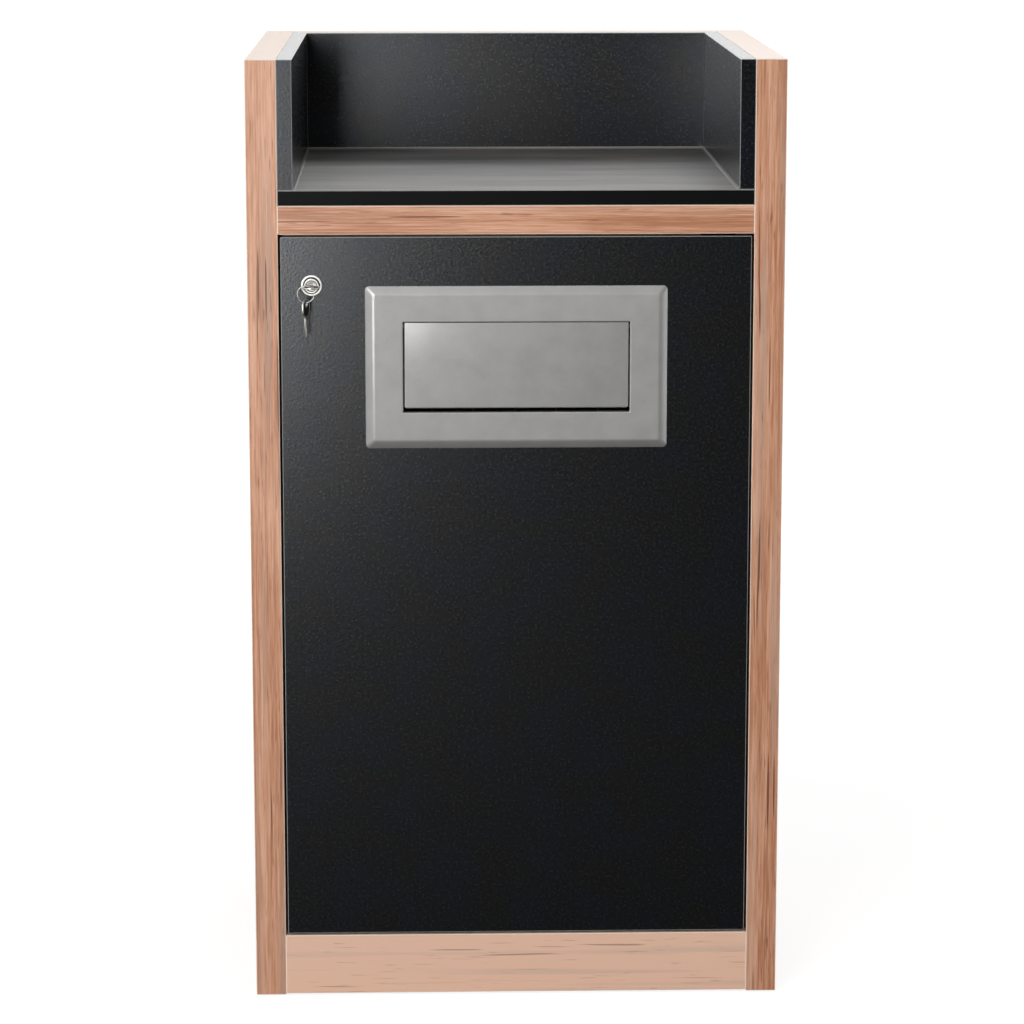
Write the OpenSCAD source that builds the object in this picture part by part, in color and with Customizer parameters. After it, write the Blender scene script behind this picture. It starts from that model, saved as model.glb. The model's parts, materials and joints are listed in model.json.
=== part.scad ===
// Trash cabinet with a tray top: a floor-standing wood cabinet with a black door, a steel
// swing flap to drop waste through, a key lock and an open tray above the door.
// Millimetres, +Z up, the door looks along -Y, the origin is on the floor under the middle.

/* [Cabinet] */
// Overall width across the side panels
cab_w = 660; // [600:5:720]
// Depth of the side panels, front to back
cab_d = 610; // [560:5:660]
// Height of the side panels above the floor
cab_h = 1185; // [1120:5:1250]
// Thickness of the side panels and of the back
panel_t = 38; // [36:1:40]
// Thickness of every other board
board_t = 19; // [18:1:20]
// Height of the kick board's top edge
kick_top = 80; // [70:1:90]
// Height of the tray's sides above its shelf
tray_h = 159; // [120:1:180]
// Height of the rail between the door and the tray
rail_h = 35; // [30:1:45]
// Gap around the door
door_gap = 3; // [2.5:0.5:4]
// Width of the eased edge on each board
ease = 0.8; // [0.4:0.1:1.2]

/* [Swing flap] */
// Width of the steel bezel
bezel_w = 372; // [350:1:390]
// Height of the steel bezel
bezel_h = 202; // [195:1:215]
// Height of the bezel's middle above the floor
bezel_z = 807.5; // [790:0.5:820]
// Distance that the bezel stands proud of the door
bezel_proud = 5; // [4:0.5:6]
// Width of the bezel's bevelled border
bevel_w = 10; // [8:0.5:12]
// Width of the opening for the flap
mouth_w = 279; // [270:1:285]
// Height of the opening for the flap
mouth_h = 112; // [105:1:116]
// Thickness of the steel sheet
sheet_t = 1.5; // [1.2:0.1:2]

/* [Lock and keys] */
// Distance of the lock from the middle of the door
lock_x = 251; // [240:1:255]
// Height of the lock above the floor
lock_z = 909.5; // [890:0.5:920]
// Radius of the lock's round head
lock_head_r = 13; // [11:0.5:14]
// Length of the cam from the lock's axis to its tip
cam_reach = 36; // [34:0.5:37]
// Width of a key's bow
bow_w = 22; // [20:0.5:24]

/* [Waste bin] */
// Width of the bin's rim
bin_w = 464; // [400:2:466]
// Depth of the bin's rim
bin_d = 420; // [360:2:440]
// Height of the bin
bin_h = 652; // [560:2:655]

/* [Hidden] */
$fn = 48;

// Heights and widths that follow from the driving dimensions
floor_gap = 2;
half_w = cab_w / 2;
inner_w = half_w - panel_t;
rear_y = cab_d - panel_t;
shelf_top = cab_h - tray_h;
shelf_z = shelf_top - board_t;
rail_z = shelf_z - rail_h;
door_x = inner_w - door_gap;
door_z0 = kick_top + door_gap;
door_z1 = rail_z - door_gap;
deck_z = kick_top - board_t;
wall_x = inner_w - board_t;
wall_y = rear_y - board_t;
hair = 0.01;
running = 0.05;
loose = 0.3;

// Cleats and stops
cleat_h = 40;
stop_gap = 1.5;
stop_drop = 22;
stop_x0 = -inner_w + 4;
stop_x1 = 228;
stop_block = [40, board_t - stop_gap, 20];
bumper_r = 4;
bumper_t = 1.2;
bumper_x = -door_x + 24;

// Dowels between the boards: each place is [height, distance from the front]
dowel_r = 4;
dowel_l = 34;
back_dowels = [for (z = [120, 430, 740, 1050]) [z, rear_y + panel_t / 2]];
deck_dowels = [for (y = [90, 300, 510]) [deck_z + board_t / 2, y]];
front_dowels = [[rail_z + rail_h / 2, board_t / 2], [kick_top / 2, board_t / 2]];
side_dowels = concat(back_dowels, deck_dowels, front_dowels);

// Concealed single-pivot hinges: a cup in the door and an arm on the side panel
pivot_in = 27;
pivot_x = door_x - pivot_in;
pivot_y = 11;
hinge_zs = [door_z0 + 95, (door_z0 + door_z1) / 2, door_z1 - 95];
cup_r = 17.5;
cup_x = door_x - 24.5;
cup_floor_y = board_t - 13.5;
cup_wall = 0.8;
cup_flange_t = 1.2;
cup_screw_dz = 23;
pin_r = 2;
arm_h = 16;
arm_t = 3;
arm_eye_r = 4;
arm_run = 31;
arm_lean = 135;
arm_flange_y = pivot_y + 76;
plate_t = 2.5;
plate_y0 = pivot_y + arm_run + 4;
plate_y1 = arm_flange_y + 4;
plate_screw_y = 66;
plate_screw_dz = 17;
clamp_y = 76;
wood_screw_r = 1.75;
wood_screw_l = 16;
side_screw_l = 37;
cross_screw_l = 28;

// Levelling feet under the side panels
foot_r = 12.5;
foot_h = 6;
foot_stem_r = 4;
foot_stem_l = 40;
foot_pocket_r = 14;
foot_pocket_h = 6.5;
socket_r = 6.5;
foot_ys = [55, cab_d - 55];
foot_x = half_w - panel_t / 2;

// Bezel, flap and spring
face_y = -bezel_proud;
mouth_z0 = bezel_z - 55.5;
mouth_z1 = mouth_z0 + mouth_h;
flap_gap = 1.5;
flap_x = mouth_w / 2 - flap_gap;
flap_z0 = mouth_z0 + 5;
flap_z1 = mouth_z1 - 0.6;
axis_y = 6;
axis_z = mouth_z1 - 6;
rod_r = 3;
rod_x = flap_x + 9;
flap_eye_r = 5;
tail_h = 8;
ear_x = mouth_w / 2 + 1.5;
ear_t = 2;
cut_x = mouth_w / 2 + 12.5;
cut_z0 = mouth_z0 - 12;
cut_z1 = mouth_z1 + 18;
stud_x = bezel_w / 2 - 18;
stud_zs = [bezel_z - bezel_h / 2 + 18.5, bezel_z + bezel_h / 2 - 18.5];
stud_r = 2.5;
collar_y = 4.5;
coil_r = 4.4;
wire_r = 0.6;
coil_turns = 5;
coil_pitch = 1.7;
coil_x0 = flap_x - sheet_t - 1.3;
leg_turn = 17.8;
leg_l = 15.2;

// Lock, keys and key ring, placed from the lock's axis
bore_r = 9.5;
lock_back = 25.5;
head_y = -6;
plug_r = 6;
cam_y = lock_back + 0.5;
cam_t = 2;
tang = 6;
key_t = 1.8;
blade_w = 7.6;
blade_l = 23;
bow_l = 24;
bow_y = head_y - 14;
bow_hole_r = 3.2;
bow_hole_y = bow_y - 5.3;
ring_r = 10.2;
ring_wire_r = 0.9;
ring_dx = -6.5;
ring_dz = -7.4;
ring_y = bow_hole_y - 0.6;
spare_turn = 20;
strike_z = 30;
strike_y0 = lock_back - 2.5;

// The spare key stands out in front of the door, so the cabinet sits back from the origin
// by half of what it reaches.
key_reach = bow_w / 2 * cos(spare_turn) + key_t / 2 * sin(spare_turn) - ring_y;
front_y = (key_reach - cab_d) / 2;

// Waste bin
bin_y0 = 66;
bin_wall = 4;
bin_taper = 34;
bin_corner_r = 48;
bin_z = kick_top + loose;
rim_h = 16;
rim_w = 11;

// Puts a piece that is measured from the cabinet's front face into the part's own frame.
module in_cabinet() {
    translate([0, front_y, 0]) children();
}

// Puts a piece that is measured from the lock's axis into the cabinet.
module at_lock() {
    in_cabinet() translate([-lock_x, 0, lock_z]) children();
}

// Both hands of a piece that is drawn on the right.
module both_sides() {
    children();
    mirror([1, 0, 0]) children();
}

module rod_along_x(r, x0, x1) {
    translate([x0, 0, 0]) rotate([0, 90, 0]) cylinder(r = r, h = x1 - x0);
}

module rod_along_y(r, y0, y1) {
    translate([0, y0, 0]) rotate([-90, 0, 0]) cylinder(r = r, h = y1 - y0);
}

// Outline of a rectangle whose corners are cut off at e.
function cut_corners(a, b, e) =
    [[e, 0], [a - e, 0], [a, e], [a, b - e], [a - e, b], [e, b], [0, b - e], [0, e]];

// A board between two corners, with every edge eased by a narrow flat.
module board(from, to, e = ease) {
    size = to - from;
    translate(from) intersection() {
        linear_extrude(size.z) polygon(cut_corners(size.x, size.y, e));
        translate([0, size.y, 0]) rotate([90, 0, 0])
            linear_extrude(size.y) polygon(cut_corners(size.x, size.z, e));
        rotate([90, 0, 90]) linear_extrude(size.x) polygon(cut_corners(size.y, size.z, e));
    }
}

// A rounded rectangle about the origin.
module round_rect(w, h, r) {
    for (x = [-1, 1], y = [-1, 1]) {
        translate([x * (w / 2 - r), y * (h / 2 - r)]) circle(r);
    }
    square([w - 2 * r, h], center = true);
    square([w, h - 2 * r], center = true);
}

// A wood screw that points along +Z, its domed head's seat at the origin.
module wood_screw(r = wood_screw_r, l = wood_screw_l, head_r = 3.6, head_h = 2) {
    rotate_extrude() polygon([[0, l], [r * 0.3, l - 1], [r, l - 4], [r, 0], [head_r, 0],
        [head_r, -head_h * 0.5], [head_r * 0.7, -head_h], [0, -head_h]]);
}

// Bores for the dowels that enter a board from its end: side is -1 or 1.
module dowel_bores(places, side) {
    for (p = places) {
        translate([side * inner_w, p[1], p[0]]) rod_along_x(dowel_r + hair,
            -dowel_l / 2 - hair, dowel_l / 2 + hair);
    }
}

// Side panel of 38 mm board, drawn for the given side, with pockets for its levelling feet.
module side_panel(side) {
    x0 = side < 0 ? -half_w : inner_w;
    color([0.72, 0.56, 0.46]) in_cabinet() difference() {
        board([x0, 0, floor_gap], [x0 + panel_t, cab_d, cab_h]);
        dowel_bores(side_dowels, side);
        for (y = foot_ys) {
            translate([side * foot_x, y, 0]) {
                cylinder(r = foot_pocket_r, h = floor_gap + foot_pocket_h);
                cylinder(r = socket_r + hair, h = floor_gap + foot_pocket_h + foot_stem_l + 2);
            }
        }
        if (side < 0) strike_screw_places() wood_screw(r = wood_screw_r + hair);
        if (side > 0) plate_screw_places() wood_screw(r = wood_screw_r + hair);
        mirror([side < 0 ? 1 : 0, 0, 0]) side_cleat_screw_places() {
            wood_screw(r = wood_screw_r + hair, l = side_screw_l + 1);
        }
    }
}

module left_side_panel() {
    side_panel(-1);
}

module right_side_panel() {
    side_panel(1);
}

module back_panel() {
    color([0.7, 0.54, 0.45]) in_cabinet() difference() {
        board([-inner_w, rear_y, 12], [inner_w, cab_d, cab_h]);
        for (side = [-1, 1]) dowel_bores(back_dowels, side);
        cross_cleat_screw_places() wood_screw(r = wood_screw_r + hair, l = cross_screw_l + 1);
    }
}

module bottom_deck() {
    color([0.16, 0.16, 0.17]) in_cabinet() difference() {
        board([-inner_w, board_t, deck_z], [inner_w, rear_y, kick_top]);
        for (side = [-1, 1]) dowel_bores(deck_dowels, side);
    }
}

module kick_board() {
    color([0.78, 0.65, 0.57]) in_cabinet() difference() {
        board([-inner_w, 0, floor_gap + 1.5], [inner_w, board_t, kick_top]);
        for (side = [-1, 1]) dowel_bores(front_dowels, side);
    }
}

module top_rail() {
    color([0.71, 0.54, 0.44]) in_cabinet() difference() {
        board([-inner_w, 0, rail_z], [inner_w, board_t, shelf_z]);
        for (side = [-1, 1]) dowel_bores(front_dowels, side);
        cross_cleat_screw_places() wood_screw(r = wood_screw_r + hair, l = cross_screw_l + 1);
    }
}

// Places of the screws that hold the side cleats, on the right.
module side_cleat_screw_places() {
    for (y = [80, 225, 370, 515]) {
        translate([wall_x, y, shelf_z - cleat_h / 2]) rotate([0, 90, 0]) children();
    }
}

// Places of the screws that hold the front and the rear cleat.
module cross_cleat_screw_places() {
    for (x = [-210, 0, 210]) {
        translate([x, 2 * board_t, shelf_z - rail_h / 2]) rotate([90, 0, 0]) children();
        translate([x, wall_y, shelf_z - cleat_h / 2]) rotate([-90, 0, 0]) children();
    }
}

module shelf_side_cleats() {
    color([0.66, 0.5, 0.4]) in_cabinet() both_sides() difference() {
        board([wall_x, 2 * board_t, shelf_z - cleat_h], [inner_w, rear_y, shelf_z]);
        side_cleat_screw_places() wood_screw(r = wood_screw_r + hair, l = side_screw_l + 1);
    }
}

module shelf_front_cleat() {
    color([0.66, 0.5, 0.4]) in_cabinet() difference() {
        board([-inner_w, board_t, rail_z], [inner_w, 2 * board_t, shelf_z]);
        cross_cleat_screw_places() cylinder(r = wood_screw_r + hair, h = cross_screw_l + 1);
    }
}

module shelf_rear_cleat() {
    color([0.66, 0.5, 0.4]) in_cabinet() difference() {
        board([-wall_x, wall_y, shelf_z - cleat_h], [wall_x, rear_y, shelf_z]);
        cross_cleat_screw_places() cylinder(r = wood_screw_r + hair, h = cross_screw_l + 1);
    }
}

// The door closes against this strip, which ends before the sweep of the door's hinge edge.
module door_stop_strip() {
    color([0.66, 0.5, 0.4]) in_cabinet()
        board([stop_x0, board_t + stop_gap, rail_z - stop_drop], [stop_x1, 2 * board_t, rail_z]);
}

module bottom_stop_block() {
    color([0.66, 0.5, 0.4]) in_cabinet() translate([stop_x0, board_t + stop_gap, kick_top])
        board([0, 0, 0], stop_block);
}

module tray_shelf() {
    color([0.45, 0.45, 0.46]) in_cabinet()
        board([-inner_w, 0, shelf_z], [inner_w, rear_y, shelf_top]);
}

module tray_left_wall() {
    color([0.2, 0.2, 0.21]) in_cabinet()
        board([-inner_w, 0, shelf_top], [-wall_x, rear_y, cab_h]);
}

module tray_right_wall() {
    color([0.3, 0.3, 0.31]) in_cabinet()
        board([wall_x, 0, shelf_top], [inner_w, rear_y, cab_h]);
}

module tray_back_wall() {
    color([0.28, 0.28, 0.29]) in_cabinet()
        board([-wall_x, wall_y, shelf_top], [wall_x, rear_y, cab_h]);
}

// One hollow-faced bead of sealant that runs along +Y from the origin, its back to +X.
module bead_along_y(l, r = 3) {
    difference() {
        translate([-r, 0, 0]) cube([r, l, r]);
        translate([-r, 0, r]) rod_along_y(r, -1, l + 1);
    }
}

module tray_sealant() {
    bead_r = 3;
    color([0.75, 0.75, 0.74]) in_cabinet() translate([0, 0, shelf_top]) {
        both_sides() translate([wall_x, 1, 0]) bead_along_y(wall_y - 1, bead_r);
        translate([wall_x - bead_r, wall_y, 0]) rotate([0, 0, 90])
            bead_along_y(2 * (wall_x - bead_r), bead_r);
    }
}

// Wood dowels that join each cross board to the side panels.
module joint_dowels() {
    color([0.83, 0.7, 0.5]) in_cabinet() both_sides() {
        for (p = side_dowels) {
            translate([inner_w, p[1], p[0]]) rod_along_x(dowel_r, -dowel_l / 2, dowel_l / 2);
        }
    }
}

module cleat_screws() {
    color([0.75, 0.73, 0.66]) in_cabinet() {
        both_sides() side_cleat_screw_places() wood_screw(l = side_screw_l);
        cross_cleat_screw_places() wood_screw(l = cross_screw_l);
    }
}

// Places of the strike's two screws, on the left side panel.
module strike_screw_places() {
    for (y = [38, 50]) {
        translate([-inner_w + 2, y, lock_z]) rotate([0, -90, 0]) children();
    }
}

// Angle bracket on the left side panel: the cam turns in behind its front flange.
module strike_bracket() {
    reach = 14;
    t = 2;
    color([0.7, 0.7, 0.7]) in_cabinet() difference() {
        translate([-inner_w, strike_y0, lock_z - strike_z / 2]) {
            cube([t, 36, strike_z]);
            cube([reach, t, strike_z]);
        }
        strike_screw_places() translate([0, 0, -1]) cylinder(r = wood_screw_r + 0.2, h = 4);
        for (z = [-1, 1]) {
            translate([-inner_w + reach, strike_y0 - 1, lock_z + z * strike_z / 2])
                rotate([0, 45, 0]) cube([5, 8, 5], center = true);
        }
    }
}

module strike_screws() {
    color([0.75, 0.73, 0.66]) in_cabinet() strike_screw_places() wood_screw();
}

// Repeats its children at the three hinges, measured from each hinge's pivot.
module at_hinges() {
    for (z = hinge_zs) {
        translate([pivot_x, pivot_y, z]) children();
    }
}

// Places of the screws in the hinge plates, on the right side panel.
module plate_screw_places() {
    for (z = hinge_zs, dz = [-1, 1]) {
        translate([inner_w - plate_t, plate_screw_y, z + dz * plate_screw_dz])
            rotate([0, 90, 0]) children();
    }
}

module clamp_screw_places() {
    for (z = hinge_zs) {
        translate([inner_w - plate_t - arm_t, clamp_y, z]) rotate([0, 90, 0]) children();
    }
}

// Winged plate: a spine that carries the arm and two wings with a screw each.
module hinge_base_plates() {
    wing = 14;
    color([0.72, 0.72, 0.73]) in_cabinet() difference() {
        for (z = hinge_zs) {
            translate([inner_w - plate_t, 0, z]) {
                translate([0, plate_y0, -arm_h / 2]) cube([plate_t, plate_y1 - plate_y0, arm_h]);
                translate([0, plate_screw_y - wing / 2, -plate_screw_dz])
                    cube([plate_t, wing, 2 * plate_screw_dz]);
                for (dz = [-1, 1]) {
                    translate([0, plate_screw_y, dz * plate_screw_dz])
                        rod_along_x(wing / 2, 0, plate_t);
                }
            }
        }
        plate_screw_places() translate([0, 0, -1]) cylinder(r = wood_screw_r + 0.2, h = 5);
        clamp_screw_places() cylinder(r = 2 + hair, h = plate_t + arm_t + 1);
    }
}

// Gooseneck arm: an eye on the pin in the cup, a leaning neck out of the cup, a bend that
// keeps clear of the door's corner as it sweeps past, and a flange on the plate.
module arm_outline() {
    wall_dx = inner_w - plate_t - pivot_x;
    in_r = arm_run - arm_t / 2;
    out_r = arm_run + arm_t / 2;
    far = 2 * out_r;
    bend_ends = [80, arm_lean + 8];
    cross_y = in_r - 0.6;
    difference() {
        union() {
            circle(r = arm_eye_r);
            rotate(arm_lean) translate([0, -arm_t / 2]) square([in_r + 1, arm_t]);
            intersection() {
                difference() {
                    circle(r = out_r, $fn = 96);
                    circle(r = in_r, $fn = 96);
                }
                polygon([[0, 0], far * [cos(bend_ends[0]), sin(bend_ends[0])], [0, 2 * far],
                    far * [cos(bend_ends[1]), sin(bend_ends[1])]]);
            }
            translate([2, cross_y]) square([wall_dx - 2, out_r - 0.3 - cross_y]);
            translate([wall_dx - arm_t, cross_y])
                square([arm_t, arm_flange_y - pivot_y - cross_y]);
        }
        circle(r = pin_r + running);
    }
}

module hinge_arms() {
    color([0.74, 0.74, 0.75]) in_cabinet() difference() {
        at_hinges() translate([0, 0, -arm_h / 2]) linear_extrude(arm_h) arm_outline();
        clamp_screw_places() translate([0, 0, -1]) cylinder(r = 2 + hair, h = 8);
    }
}

module hinge_plate_screws() {
    color([0.75, 0.73, 0.66]) in_cabinet() plate_screw_places() wood_screw();
}

module hinge_clamp_screws() {
    color([0.75, 0.73, 0.66]) in_cabinet() clamp_screw_places()
        wood_screw(r = 2, l = plate_t + arm_t - 0.2, head_r = 3.5, head_h = 2.2);
}

// Steel sleeves in the side panels that the feet screw into.
module leveller_sockets() {
    color([0.75, 0.73, 0.66]) in_cabinet() both_sides() for (y = foot_ys) {
        translate([foot_x, y, floor_gap + foot_pocket_h]) difference() {
            cylinder(r = socket_r, h = foot_stem_l + 2);
            translate([0, 0, -1]) cylinder(r = foot_stem_r + running, h = foot_stem_l + 1);
        }
    }
}

// One levelling foot: a turned pad on a screwed stem.
module leveller(side, y) {
    color([0.25, 0.25, 0.26]) in_cabinet() translate([side * foot_x, y, 0])
        rotate_extrude() polygon([[0, 0], [foot_r - 1.5, 0], [foot_r, 1.5], [foot_r, 4],
            [foot_r - 3, foot_h], [foot_stem_r, foot_h], [foot_stem_r, foot_stem_l + 4],
            [foot_stem_r - 1, foot_stem_l + 5], [0, foot_stem_l + 5]]);
}

module leveller_front_left() {
    leveller(-1, foot_ys[0]);
}

module leveller_front_right() {
    leveller(1, foot_ys[0]);
}

module leveller_rear_left() {
    leveller(-1, foot_ys[1]);
}

module leveller_rear_right() {
    leveller(1, foot_ys[1]);
}

// Door board, bored for the hinge cups and the lock, and cut out behind the bezel.
module door_panel() {
    color([0.17, 0.17, 0.18]) in_cabinet() difference() {
        board([-door_x, 0, door_z0], [door_x, board_t, door_z1]);
        translate([-cut_x, -1, cut_z0]) cube([2 * cut_x, board_t + 2, cut_z1 - cut_z0]);
        translate([-lock_x, 0, lock_z]) rod_along_y(bore_r + hair, -1, board_t + 1);
        for (z = hinge_zs) {
            translate([cup_x, 0, z]) rod_along_y(cup_r + hair, cup_floor_y, board_t + 1);
        }
        cup_screw_places() wood_screw(r = wood_screw_r + hair, l = 13);
        for (x = [-1, 1], z = stud_zs) {
            translate([x * stud_x, 0, z]) rod_along_y(stud_r + 0.3, -1, board_t + 1);
        }
    }
}

module cup_screw_places() {
    for (z = hinge_zs, dz = [-1, 1]) {
        translate([cup_x, board_t + cup_flange_t, z + dz * cup_screw_dz]) rotate([90, 0, 0])
            children();
    }
}

// Pressed cup with a screw flange, and two cheeks that hold the pin.
module hinge_cups() {
    flange_y = board_t + cup_flange_t;
    cheek_z = arm_h / 2 + 0.4;
    cheek_t = 2.6;
    color([0.74, 0.74, 0.75]) in_cabinet() difference() {
        for (z = hinge_zs) {
            translate([cup_x, 0, z]) {
                difference() {
                    union() {
                        rod_along_y(cup_r, cup_floor_y, board_t);
                        rod_along_y(cup_r + 2.5, board_t, flange_y);
                        for (dz = [-1, 1]) {
                            translate([0, 0, dz * cup_screw_dz]) rod_along_y(6, board_t, flange_y);
                        }
                        translate([-6, board_t, -cup_screw_dz])
                            cube([12, cup_flange_t, 2 * cup_screw_dz]);
                    }
                    rod_along_y(cup_r - cup_wall, cup_floor_y + cup_wall, flange_y + 1);
                }
                for (dz = [-1, 1]) {
                    intersection() {
                        rod_along_y(cup_r - cup_wall / 2, cup_floor_y, flange_y);
                        translate([-cup_r, cup_floor_y, dz * (cheek_z + cheek_t / 2) - cheek_t / 2])
                            cube([2 * cup_r, 10, cheek_t]);
                    }
                }
            }
        }
        at_hinges() translate([0, 0, -cup_r]) cylinder(r = pin_r + hair, h = 2 * cup_r);
        cup_screw_places() translate([0, 0, -1]) cylinder(r = wood_screw_r + 0.2, h = 4);
    }
}

module hinge_pins() {
    half = arm_h / 2 + 3;
    color([0.8, 0.8, 0.8]) in_cabinet() at_hinges()
        translate([0, 0, -half]) cylinder(r = pin_r, h = 2 * half);
}

module hinge_cup_screws() {
    color([0.75, 0.73, 0.66]) in_cabinet() cup_screw_places() wood_screw(l = 12);
}

// Soft pads on the back of the door, opposite the stops.
module door_bumpers() {
    color([0.2, 0.2, 0.2]) in_cabinet() for (z = [door_z0 + 9, door_z1 - 9]) {
        translate([bumper_x, 0, z]) rod_along_y(bumper_r, board_t, board_t + bumper_t);
    }
}

// Half section of the bezel's bevelled border, for a plate of width w.
function bezel_section(w) = [[-w / 2, 0], [-w / 2, -1.2], [-w / 2 + bevel_w, face_y],
    [w / 2 - bevel_w, face_y], [w / 2, -1.2], [w / 2, 0]];

// Pressed steel bezel with mitred bevels, hollow behind, and a collar around the mouth.
module bezel() {
    rim = bevel_w + sheet_t;
    color([0.78, 0.78, 0.77]) in_cabinet() translate([0, 0, bezel_z]) {
        difference() {
            intersection() {
                translate([0, 0, -bezel_h / 2]) linear_extrude(bezel_h)
                    polygon(bezel_section(bezel_w));
                rotate([0, 90, 0]) translate([0, 0, -bezel_w / 2]) linear_extrude(bezel_w)
                    polygon(bezel_section(bezel_h));
                rotate([90, 0, 0]) linear_extrude(20, center = true)
                    round_rect(bezel_w, bezel_h, 5.5);
            }
            translate([-bezel_w / 2 + rim, face_y + sheet_t, -bezel_h / 2 + rim])
                cube([bezel_w - 2 * rim, 20, bezel_h - 2 * rim]);
            translate([-mouth_w / 2, -20, mouth_z0 - bezel_z]) cube([mouth_w, 40, mouth_h]);
        }
        translate([-mouth_w / 2 - sheet_t, face_y, mouth_z0 - bezel_z - sheet_t])
            cube([mouth_w + 2 * sheet_t, collar_y - face_y, sheet_t]);
        both_sides() translate([mouth_w / 2, face_y, mouth_z0 - bezel_z - sheet_t])
            cube([sheet_t, collar_y - face_y, mouth_h - 20]);
    }
}

module at_studs() {
    for (x = [-1, 1], z = stud_zs) {
        translate([x * stud_x, 0, z]) children();
    }
}

module bezel_studs() {
    color([0.75, 0.75, 0.74]) in_cabinet() at_studs() {
        rod_along_y(stud_r, face_y + sheet_t, board_t + 9);
        rod_along_y(stud_r + 1.5, face_y + sheet_t, face_y + sheet_t + 1);
    }
}

module bezel_washers() {
    color([0.75, 0.73, 0.66]) in_cabinet() at_studs() difference() {
        rod_along_y(7, board_t, board_t + 1.2);
        rod_along_y(stud_r + 0.2, 0, board_t + 5);
    }
}

module bezel_nuts() {
    color([0.75, 0.73, 0.66]) in_cabinet() at_studs() difference() {
        translate([0, board_t + 1.2, 0]) rotate([-90, 0, 0]) cylinder(r = 4.6, h = 4, $fn = 6);
        rod_along_y(stud_r + hair, 0, board_t + 9);
    }
}

// Bent brackets behind the bezel: the ear holds the rod, the lug backs the flap's stop pad.
module flap_brackets() {
    color([0.7, 0.7, 0.7]) in_cabinet() both_sides() difference() {
        union() {
            translate([ear_x, face_y + sheet_t, axis_z - 12]) cube([9, sheet_t, 26]);
            translate([ear_x, face_y + sheet_t, axis_z - 12]) cube([ear_t, 18, 26]);
            translate([flap_x - 2.5, axis_y + 3.5, axis_z + 5.4])
                cube([ear_x - flap_x + 3, 1.5, 3.6]);
        }
        translate([0, axis_y, axis_z]) rod_along_x(rod_r + hair, 0, 2 * ear_x);
    }
}

module flap_stop_pads() {
    color([0.15, 0.15, 0.15]) in_cabinet() both_sides()
        translate([flap_x - 2.5, axis_y + 0.8, axis_z + 5.6]) cube([4.6, 2.7, 2.9]);
}

module flap_rod() {
    color([0.75, 0.75, 0.74]) in_cabinet() translate([0, axis_y, axis_z]) difference() {
        rod_along_x(rod_r, -rod_x, rod_x);
        both_sides() difference() {
            rod_along_x(rod_r + 1, ear_x + ear_t + 0.2, ear_x + ear_t + 1.2);
            rod_along_x(rod_r - 0.6, 0, rod_x);
        }
    }
}

// Spring clips that sit in the grooves of the rod.
module flap_rod_clips() {
    color([0.55, 0.55, 0.56]) in_cabinet() both_sides() {
        translate([ear_x + ear_t + 0.25, axis_y, axis_z]) difference() {
            rod_along_x(rod_r + 2, 0, 0.9);
            rod_along_x(rod_r - 0.6 + hair, -1, 2);
            translate([-1, -1.6, -rod_r - 3]) cube([3, 3.2, rod_r + 3]);
        }
    }
}

// Point of the spring's coil at the turned angle a, from the coil's outer end.
function coil_point(a) = [coil_x0 - coil_pitch * a / 360,
    coil_r * cos(180 - leg_turn - a), coil_r * sin(180 - leg_turn - a)];
coil_sweep = 360 * coil_turns - 2 * leg_turn;
coil_rings = 10 * coil_turns;
coil_path = [for (i = [0:coil_rings]) coil_point(coil_sweep * i / coil_rings)];
coil_end = coil_path[coil_rings];
fixed_leg_end = coil_end + leg_l * [0, -sin(leg_turn), cos(leg_turn)];
spring_path = concat(coil_path, [coil_end + (fixed_leg_end - coil_end) * 0.5, fixed_leg_end]);

// Unit direction of a path at point i.
function path_run(path, i) =
    let (a = path[max(i - 1, 0)], b = path[min(i + 1, len(path) - 1)])
    (b - a) / norm(b - a);

// Ring of points around a path at point i, for a path that never runs along X.
function path_ring(path, i, r, sides) =
    let (run = path_run(path, i), side = cross(run, [1, 0, 0]), up = side / norm(side),
        out = cross(up, run))
    [for (k = [0:sides - 1]) path[i] + r * (cos(360 * k / sides) * out
        + sin(360 * k / sides) * up)];

// Closed tube of even thickness along a path.
module tube_along(path, r, sides = 8) {
    n = len(path);
    points = [for (i = [0:n - 1]) each path_ring(path, i, r, sides)];
    walls = [for (i = [0:n - 2], k = [0:sides - 1]) let (a = i * sides + k,
        b = i * sides + (k + 1) % sides) each [[a, a + sides, b], [b, a + sides, b + sides]]];
    caps = [[for (k = [0:sides - 1]) k], [for (k = [sides - 1:-1:0]) (n - 1) * sides + k]];
    polyhedron(points, concat(walls, caps));
}

// Closing springs: coils on the rod, each with a leg against the back of the bezel.
module flap_springs() {
    color([0.6, 0.6, 0.6]) in_cabinet() both_sides()
        translate([0, axis_y, axis_z]) tube_along(spring_path, wire_r);
}

// The springs' other legs, which lie on the back of the flap and turn with it.
module flap_spring_legs() {
    color([0.6, 0.6, 0.6]) in_cabinet() both_sides()
        translate([coil_x0 + 0.1, axis_y, axis_z]) rotate([-leg_turn, 0, 0])
            translate([0, -coil_r, -leg_l]) cylinder(r = wire_r, h = leg_l - 0.4);
}

// Profile of the flap's side flange, as distances back and up from its axis.
flange_outline = [[face_y - axis_y, flap_z0 - axis_z], [-4, flap_z0 - axis_z], [4, -45],
    [4.4, -2], [0, 3], [-9.5, flap_z1 - axis_z], [face_y - axis_y, flap_z1 - axis_z]];

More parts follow.
